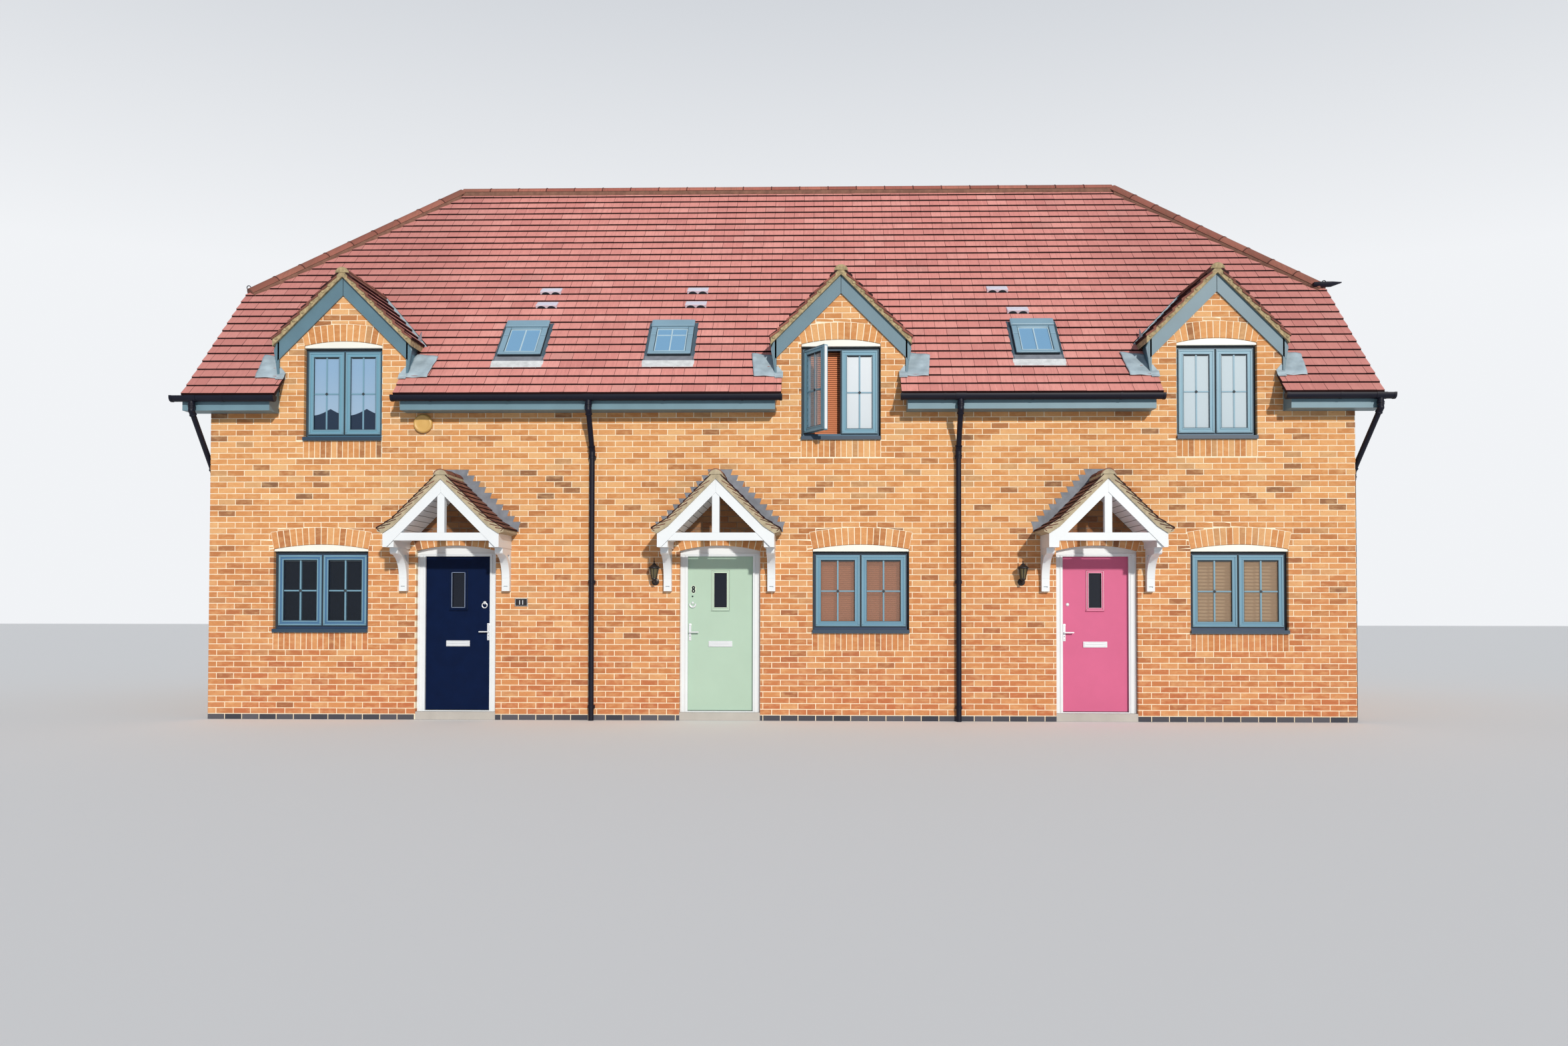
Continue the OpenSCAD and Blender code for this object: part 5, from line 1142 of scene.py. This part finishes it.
for i, (name, paint, slot, hand) in enumerate(DOORS):
    dx, body = DOOR_X[i], name + "_door_leaf"
    trim, bead_highlights_and_plate, dark, bright = soups(4)
    for face, y in ((-1, LEAF_FRONT), (1, LEAF_BACK)):
        out = lambda a, b: sorted((y + face * a, y + face * b))
        # Moulded surround of the pane with its beads, made pale as painted highlights, a small sill and dark lines
        # round it
        rings = [(trim, LIGHT_TRIM - 0.003, 0.010, 0.006, 0.014, 0.003), (bead_highlights_and_plate, 0.010, 0.007, 0.006, 0.014, 0.002)]
        if i:
            rings.append((bead_highlights_and_plate, LIGHT_TRIM - 0.001, 0.006, 0.006, 0.0145, 0.002))
        rings += [(dark, 0.0025, 0.004, 0.004, 0.0095, 0), (dark, LIGHT_TRIM + 0.003, 0.003, -0.001, 0.0012, 0)]
        for soup, grow, wide, a, b, bevel in rings:
            ring(soup, dx, LIGHT_W / 2, LIGHT_Z, LIGHT_Z + LIGHT_H, grow, wide, *out(a, b), bevel)
        half = LIGHT_W / 2 + LIGHT_TRIM + 0.006
        foot = LIGHT_Z - LIGHT_TRIM
        trim.block(dx - half, dx + half, *out(0.001, 0.020), foot - 0.012, foot + 0.001, 0.003)
        # Letter plate with its flap, long lever plate with keyhole and screws
        ring(bright, dx, 0.153, LETTER_Z - 0.037, LETTER_Z + 0.037, 0, 0.010, *out(0.008, 0.0125), 0.002)
        for z in (LETTER_Z - 0.026, LETTER_Z + 0.001):
            bright.block(dx - 0.140, dx + 0.140, *out(0.008, 0.0145), z, z + 0.025, 0.003)
        px = dx - hand * (LEAF_W / 2 - 0.038)
        disc = curve(px, 0, LEVER_R, 16, math.pi / 16, math.pi * 33 / 16)[:-1]
        plate = [(x, LEVER_Z + math.copysign(LEVER_RISE, z) + z) for x, z in disc]
        bright.prism(plate, upright(0, y, 1, face), 0.007, 0.011, bevel=0.002)
        for dz, r, h, n in ((-0.052, 0.0055, 0.0022, 12), (0.088, 0.003, 0.0018, 8), (-0.088, 0.003, 0.0018, 8)):
            dark.lathe([(0.0, 0.0), (r, 0.0), (r, h), (0.0, h)], (px, y + face * 0.0105, LEVER_Z + dz), (0, face, 0), n)
    if i == 0:
        # Round knocker hung from a boss
        kx, kz = dx + 0.345, 1.475
        boss(bright, kx, kz + 0.030, [(0.0, 0), (0.020, 0), (0.022, 0.008), (0.012, 0.020), (0, 0.022)])
        bent_bar(bright, curve(kx, kz - 0.004, 0.033, 24, math.pi / 2, -1.5 * math.pi), 0.012, 0.0065, 8)
    if i == 1:
        # Number, spy hole and curved knocker down the lock side
        nx = dx - 0.352
        bead_highlights_and_plate.prism(curve(nx, 1.681, 0.034, 28, tall=0.056)[:-1], upright(0, LEAF_FRONT), -0.001, 0.001)
        for r, z in ((0.0135, 1.702), (0.0155, 1.662)):
            bent_bar(dark, curve(nx, z, r, 20, math.pi / 2, -1.5 * math.pi, 1.25 * r), 0.003, 0.0085, 6)
        boss(dark, nx - 0.012, 1.589, [(0.0, 0), (0.011, 0), (0.009, 0.006), (0, 0.007)], 16)
        boss(bright, nx - 0.010, 1.506, [(0.0, 0), (0.016, 0), (0.018, 0.006), (0.010, 0.016), (0, 0.017)])
        hook = curve(nx - 0.010, 1.488, 0.036, 16, -1.75 - math.pi / 2, 1.75 - math.pi / 2)
        bent_bar(bright, hook, 0.012, 0.012, 8, caps=True)
    if i == 2:
        boss(bright, dx - 0.352, 1.49, [(0.0, 0), (0.020, 0), (0.022, 0.006), (0.012, 0.014), (0, 0.015)])
    trim.build(name + "_door_trim", paint, body, slot)
    bead_highlights_and_plate.build(name + "_door_bead_highlights_and_plate", PALE_PLATE_AND_BEAD_HIGHLIGHTS[i], body, slot)
    dark.build(name + "_door_lines", GAP, body, slot)
    bright.build(name + "_door_plates", STEEL, body, "bright_metal")

# Steps moulded round each front door frame, and the drip under its head
steps = Soup()
back = FRONT + REVEAL + 0.002
for dx in DOOR_X:
    a = DOOR_HALF - 0.004
    for side in (-1, 1):
        for outer, inner, proud, top in ((a, a - 0.026, 0.012, 0.050),
                                         (DOOR_HALF - 0.066, DOOR_HALF - 0.080, 0.010, 0.052)):
            x = sorted((dx + side * outer, dx + side * inner))
            steps.block(*x, back - proud, back, 0.101, DOOR_SPRING - top, 0.004)
    steps.block(dx - a, dx + a, back - 0.012, back, DOOR_SPRING - 0.050, DOOR_SPRING - 0.026, 0.004)
steps.build("door_frame_steps", WHITE, slot="white_joinery")

# ---------------------------------------------------------------- coach lamps, alarm box and plaque
HOOD = [(0.0, 0.340), (0.004, 0.338), (0.005, 0.300), (0.011, 0.290), (0.006, 0.282), (0.010, 0.270), (0.020, 0.264),
        (0.030, 0.250), (0.052, 0.236), (0.070, 0.222), (0.074, 0.212), (0.074, 0.206), (0.062, 0.206), (0.0, 0.210)]
CUP = [(0.0, 0.076), (0.036, 0.078), (0.037, 0.070), (0.030, 0.060), (0.016, 0.050), (0.012, 0.040), (0.016, 0.030),
       (0.010, 0.022), (0.0, 0.018)]
ROSE = [(0.0, 0.030), (0.020, 0.028), (0.026, 0.018), (0.044, 0.012), (0.048, 0.0)]
iron, lamp_glass = soups(2)
for x in (DOOR_X[1] - 0.830, DOOR_X[2] - 0.960):
    y, z = FRONT - 0.130, 1.741
    iron.lathe(HOOD, (x, y, z), sides=20)
    iron.lathe(CUP, (x, y, z), sides=16)
    for g in [math.pi * (2 * j + 1) / 6 for j in range(6)]:
        iron.tube([(x + r * math.cos(g), y + r * math.sin(g), z + h) for r, h in ((0.061, 0.208), (0.034, 0.074))],
                  0.0042, 6, up=(0.3, 0.5, 0.1))
    lamp_glass.lathe([(0.033, 0.078), (0.059, 0.204)], (x, y, z), sides=6, turn=math.pi / 6)
    # Arm with its scroll, and the rose on the wall
    arm = [(x, y + 0.013 * j, z + 0.040 + 0.020 * math.sin(math.pi * j / 10) - 0.0004 * j) for j in range(11)]
    iron.tube(arm, 0.007, 8, up=(1, 0, 0))
    iron.tube([(x, *p) for p in curve(FRONT - 0.05, z + 0.012, 0.022, 12, 0.4, 4.9)], 0.005, 6, up=(1, 0, 0))
    iron.lathe(ROSE, (x, FRONT - PROUD, z + 0.036), (0, -1, 0))
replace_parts(iron.build("lamp_iron", IRON, slot="black_metal"), "coach_lamps")
lamp_glass.build("lamp_glass", LAMP_GLASS, slot="pane")

ALARM = [(0.120, 0.0), (0.122, 0.010), (0.122, 0.032), (0.117, 0.044), (0.104, 0.052), (0.096, 0.053), (0.092, 0.050),
         (0.050, 0.056), (0.0, 0.058)]
cover = Soup()
cover.lathe(ALARM, (HOUSE_X[0] + 0.330, FRONT - PROUD, 3.820), (0, -1, 0), 48)
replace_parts(cover.build("alarm_cover", YELLOW, slot="yellow_plastic", smooth=True), "alarm_box")

plate = Soup()
px, pz = HOUSE_X[0] + 1.615, 1.510
ring(plate, px, 0.078, pz - 0.048, pz + 0.048, 0, 0.003, FRONT - 0.0105, FRONT - 0.007)
for x in (px - 0.020, px + 0.020):
    plate.block(x - 0.004, x + 0.004, FRONT - 0.0105, FRONT - 0.007, pz - 0.028, pz + 0.028, 0.001)
plate.build("plaque_marks", WHITE, slot="white_joinery")

# ---------------------------------------------------------------- gutter brackets, stop ends, sockets and clips
EAVE_RIM = EAVE_Z - 0.024
GUT_Y = FRONT - 0.270
GUT_R, GUT_DOWN = 0.057, -0.018                # inside radius of a gutter, and its centre below the rim
PIPE_R = 0.041                                 # radius of a downpipe's socket
CLIP = [(0.036, -0.021), (0.0385, -0.019), (0.0385, 0.019), (0.036, 0.021)]
OUTLETS = (-VERGE_X + 0.150, -HOUSE_W / 2 + 0.080, HOUSE_W / 2 - 0.130, VERGE_X - 0.060)
black = Soup()


def gutter_band(at, r, width, place):
    """A band round the outside of a gutter; place turns (along, out, up) into a point."""
    profile = [(0.0, 0.0), (0.0, GUT_DOWN)] + curve(GUT_R, GUT_DOWN, r, 12, math.pi, 2 * math.pi)
    profile += [(GUT_R + r, GUT_DOWN), (GUT_R + r, 0.002)]
    k, n = len(black.v), len(profile)
    black.v += [place(a, *q) for q in profile for a in (at - width / 2, at + width / 2)]
    black.t += [BARE] * (2 * n)
    black.f += [(q, q + 1, q + 3, q + 2) for q in range(k, k + 2 * n - 2, 2)]
    black.f += [tuple(range(k, k + 2 * n, 2))[::-1], tuple(range(k + 1, k + 2 * n, 2))]


lengths = []
for i in range(4):
    x0 = GABLET_X[i - 1] + GAB_HALF - 0.078 if i else -VERGE_X - 0.115
    x1 = GABLET_X[i] - GAB_HALF + 0.078 if i < 3 else VERGE_X + 0.115
    lengths.append((x0, x1))
UP = Vector((0, 0, 1))
for rear, flip in BOTH:
    place = lambda a, out, h: (rear * a, rear * (GUT_Y - out), EAVE_RIM + h)
    for (x0, x1), outlet in zip(lengths, OUTLETS):
        n = max(1, int((x1 - x0) / 0.95))
        for j in range(n):
            gutter_band(x0 + (j + 0.5) * (x1 - x0) / n, 0.0600, 0.030, place)
        for end, d in ((x0, 1), (x1, -1)):
            gutter_band(end + d * 0.014, 0.0615, 0.026, place)
            gutter_band(end - d * 0.002, 0.0580, 0.008, place)
        gutter_band(outlet, 0.0615, 0.130, place)
    # Sockets at the outlets and on both sides of each elbow
    for i, x in enumerate(OUTLETS):
        a = Vector((x, GUT_Y - GUT_R, EAVE_RIM + GUT_DOWN - 0.057 - 0.070 - 0.042))
        outer = Vector((math.copysign(ROW + 0.060, x), FRONT + 0.200, 3.200))
        foot = Vector((x, FRONT - 0.060, 3.455)) if i in (1, 2) else outer
        d = (foot - a).normalized()
        start = len(black.v)
        for base, axis, length in ((a, UP, 0.052), (a, d, 0.066), (foot, -d, 0.066), (foot, -UP, 0.070)):
            socket = [(-0.006, 0.0), (-0.001, 0.006), (-0.001, length - 0.016), (0.004, length - 0.012),
                      (0.004, length), (-0.008, length)]
            black.lathe([(PIPE_R + r, h) for r, h in socket], base, axis, 16)
        black.lathe([(0.046, 0.0), (0.046, 0.016), (0.041, 0.020), (0.041, 0.034)], a + UP * 0.060, sides=16)
        # Clip ears on the straight fall
        z = foot.z - 0.060
        while z > 0.10:
            black.lathe(CLIP, (foot.x, foot.y, z - 0.020), sides=16)
            z -= 1.600
        black.turned(flip, start)
for sx in (-1, 1):
    place = lambda a, out, h: (sx * (HIP_X - 0.030 + out), a, RIDGE - HIP_DROP - 0.0405 + h)
    for j in range(5):
        gutter_band(-1.7 + j * 0.85, 0.0600, 0.030, place)
    for end in (-1, 1):
        gutter_band(end * (HIP_DROP - 0.014), 0.0615, 0.026, place)
black.build("rainwater_details", BLACK, slot="black_plastic")

# ---------------------------------------------------------------- stage, light and camera
floor_mesh = bpy.data.meshes.new("floor")
floor_mesh.from_pydata([(-80, -60, -0.002), (80, -60, -0.002), (80, 60, -0.002), (-80, 60, -0.002)], [], [(0, 1, 2, 3)])
floor_mesh.materials.append(plain("pale floor", (0.82, 0.82, 0.81, 1), 0.9, vary=0.0))
floor = linked("floor", floor_mesh)

# A pale sky that deepens upwards, much brighter low down behind the row
world = bpy.data.worlds.new("studio")
bpy.context.scene.world = world
world.use_nodes = True
wn = world.node_tree
background = wn.nodes["Background"]
toward_sky = node(wn, "ShaderNodeSeparateXYZ", Vector=wn.nodes.new("ShaderNodeTexCoord").outputs["Generated"]).outputs
sky = ramp(wn, toward_sky["Z"], [
    (0.0, (0.88, 0.94, 1.04, 1)), (0.28, (0.82, 0.91, 1.04, 1)), (1.0, (0.46, 0.58, 0.78, 1))])
behind = maths(wn, "ADD", times(wn, toward_sky["Y"], 2.4), -0.3, True)
behind = times(wn, behind, minus(wn, 1.5, times(wn, toward_sky["Z"], 2.0), True))
feed(wn, mix(wn, behind, sky, (2.10, 2.14, 2.20, 1)), background.inputs["Color"])
background.inputs["Strength"].default_value = 0.42

sun_data = bpy.data.lights.new("key", "SUN")
sun_data.energy = 3.0
sun_data.angle = math.radians(2)
sun_data.color = (1.0, 0.94, 0.86)
sun = linked("key", sun_data)
TO_SUN = Vector((0.2825, -0.877, 0.388))
sun.rotation_euler = TO_SUN.to_track_quat("Z", "Y").to_euler()

# The camera fitted to the photograph; lengths in its pixels are divided by its width
PHOTO_W, FOCAL_PX, SHIFT_PX = 2351, 1810.0, (-16.8, 79.4)
CAMERA_AT, YAW, PITCH, ROLL = (0.591, -19.091, 1.525), 0.02276, 0.02117, -0.00111
cam_data = bpy.data.cameras.new("camera")
cam = linked("camera", cam_data)
bpy.context.scene.camera = cam
cam_data.sensor_width = 36
cam_data.lens = FOCAL_PX / PHOTO_W * 36
cam_data.shift_x, cam_data.shift_y = (shift / PHOTO_W for shift in SHIFT_PX)
cam_data.clip_end = 300
cam.matrix_world = (Matrix.Translation(CAMERA_AT) @ Matrix.Rotation(YAW, 4, "Z")
                    @ Matrix.Rotation(math.pi / 2 + PITCH, 4, "X") @ Matrix.Rotation(-ROLL, 4, "Z"))
bpy.context.scene.view_settings.view_transform = "Standard"

bpy.context.view_layer.update()
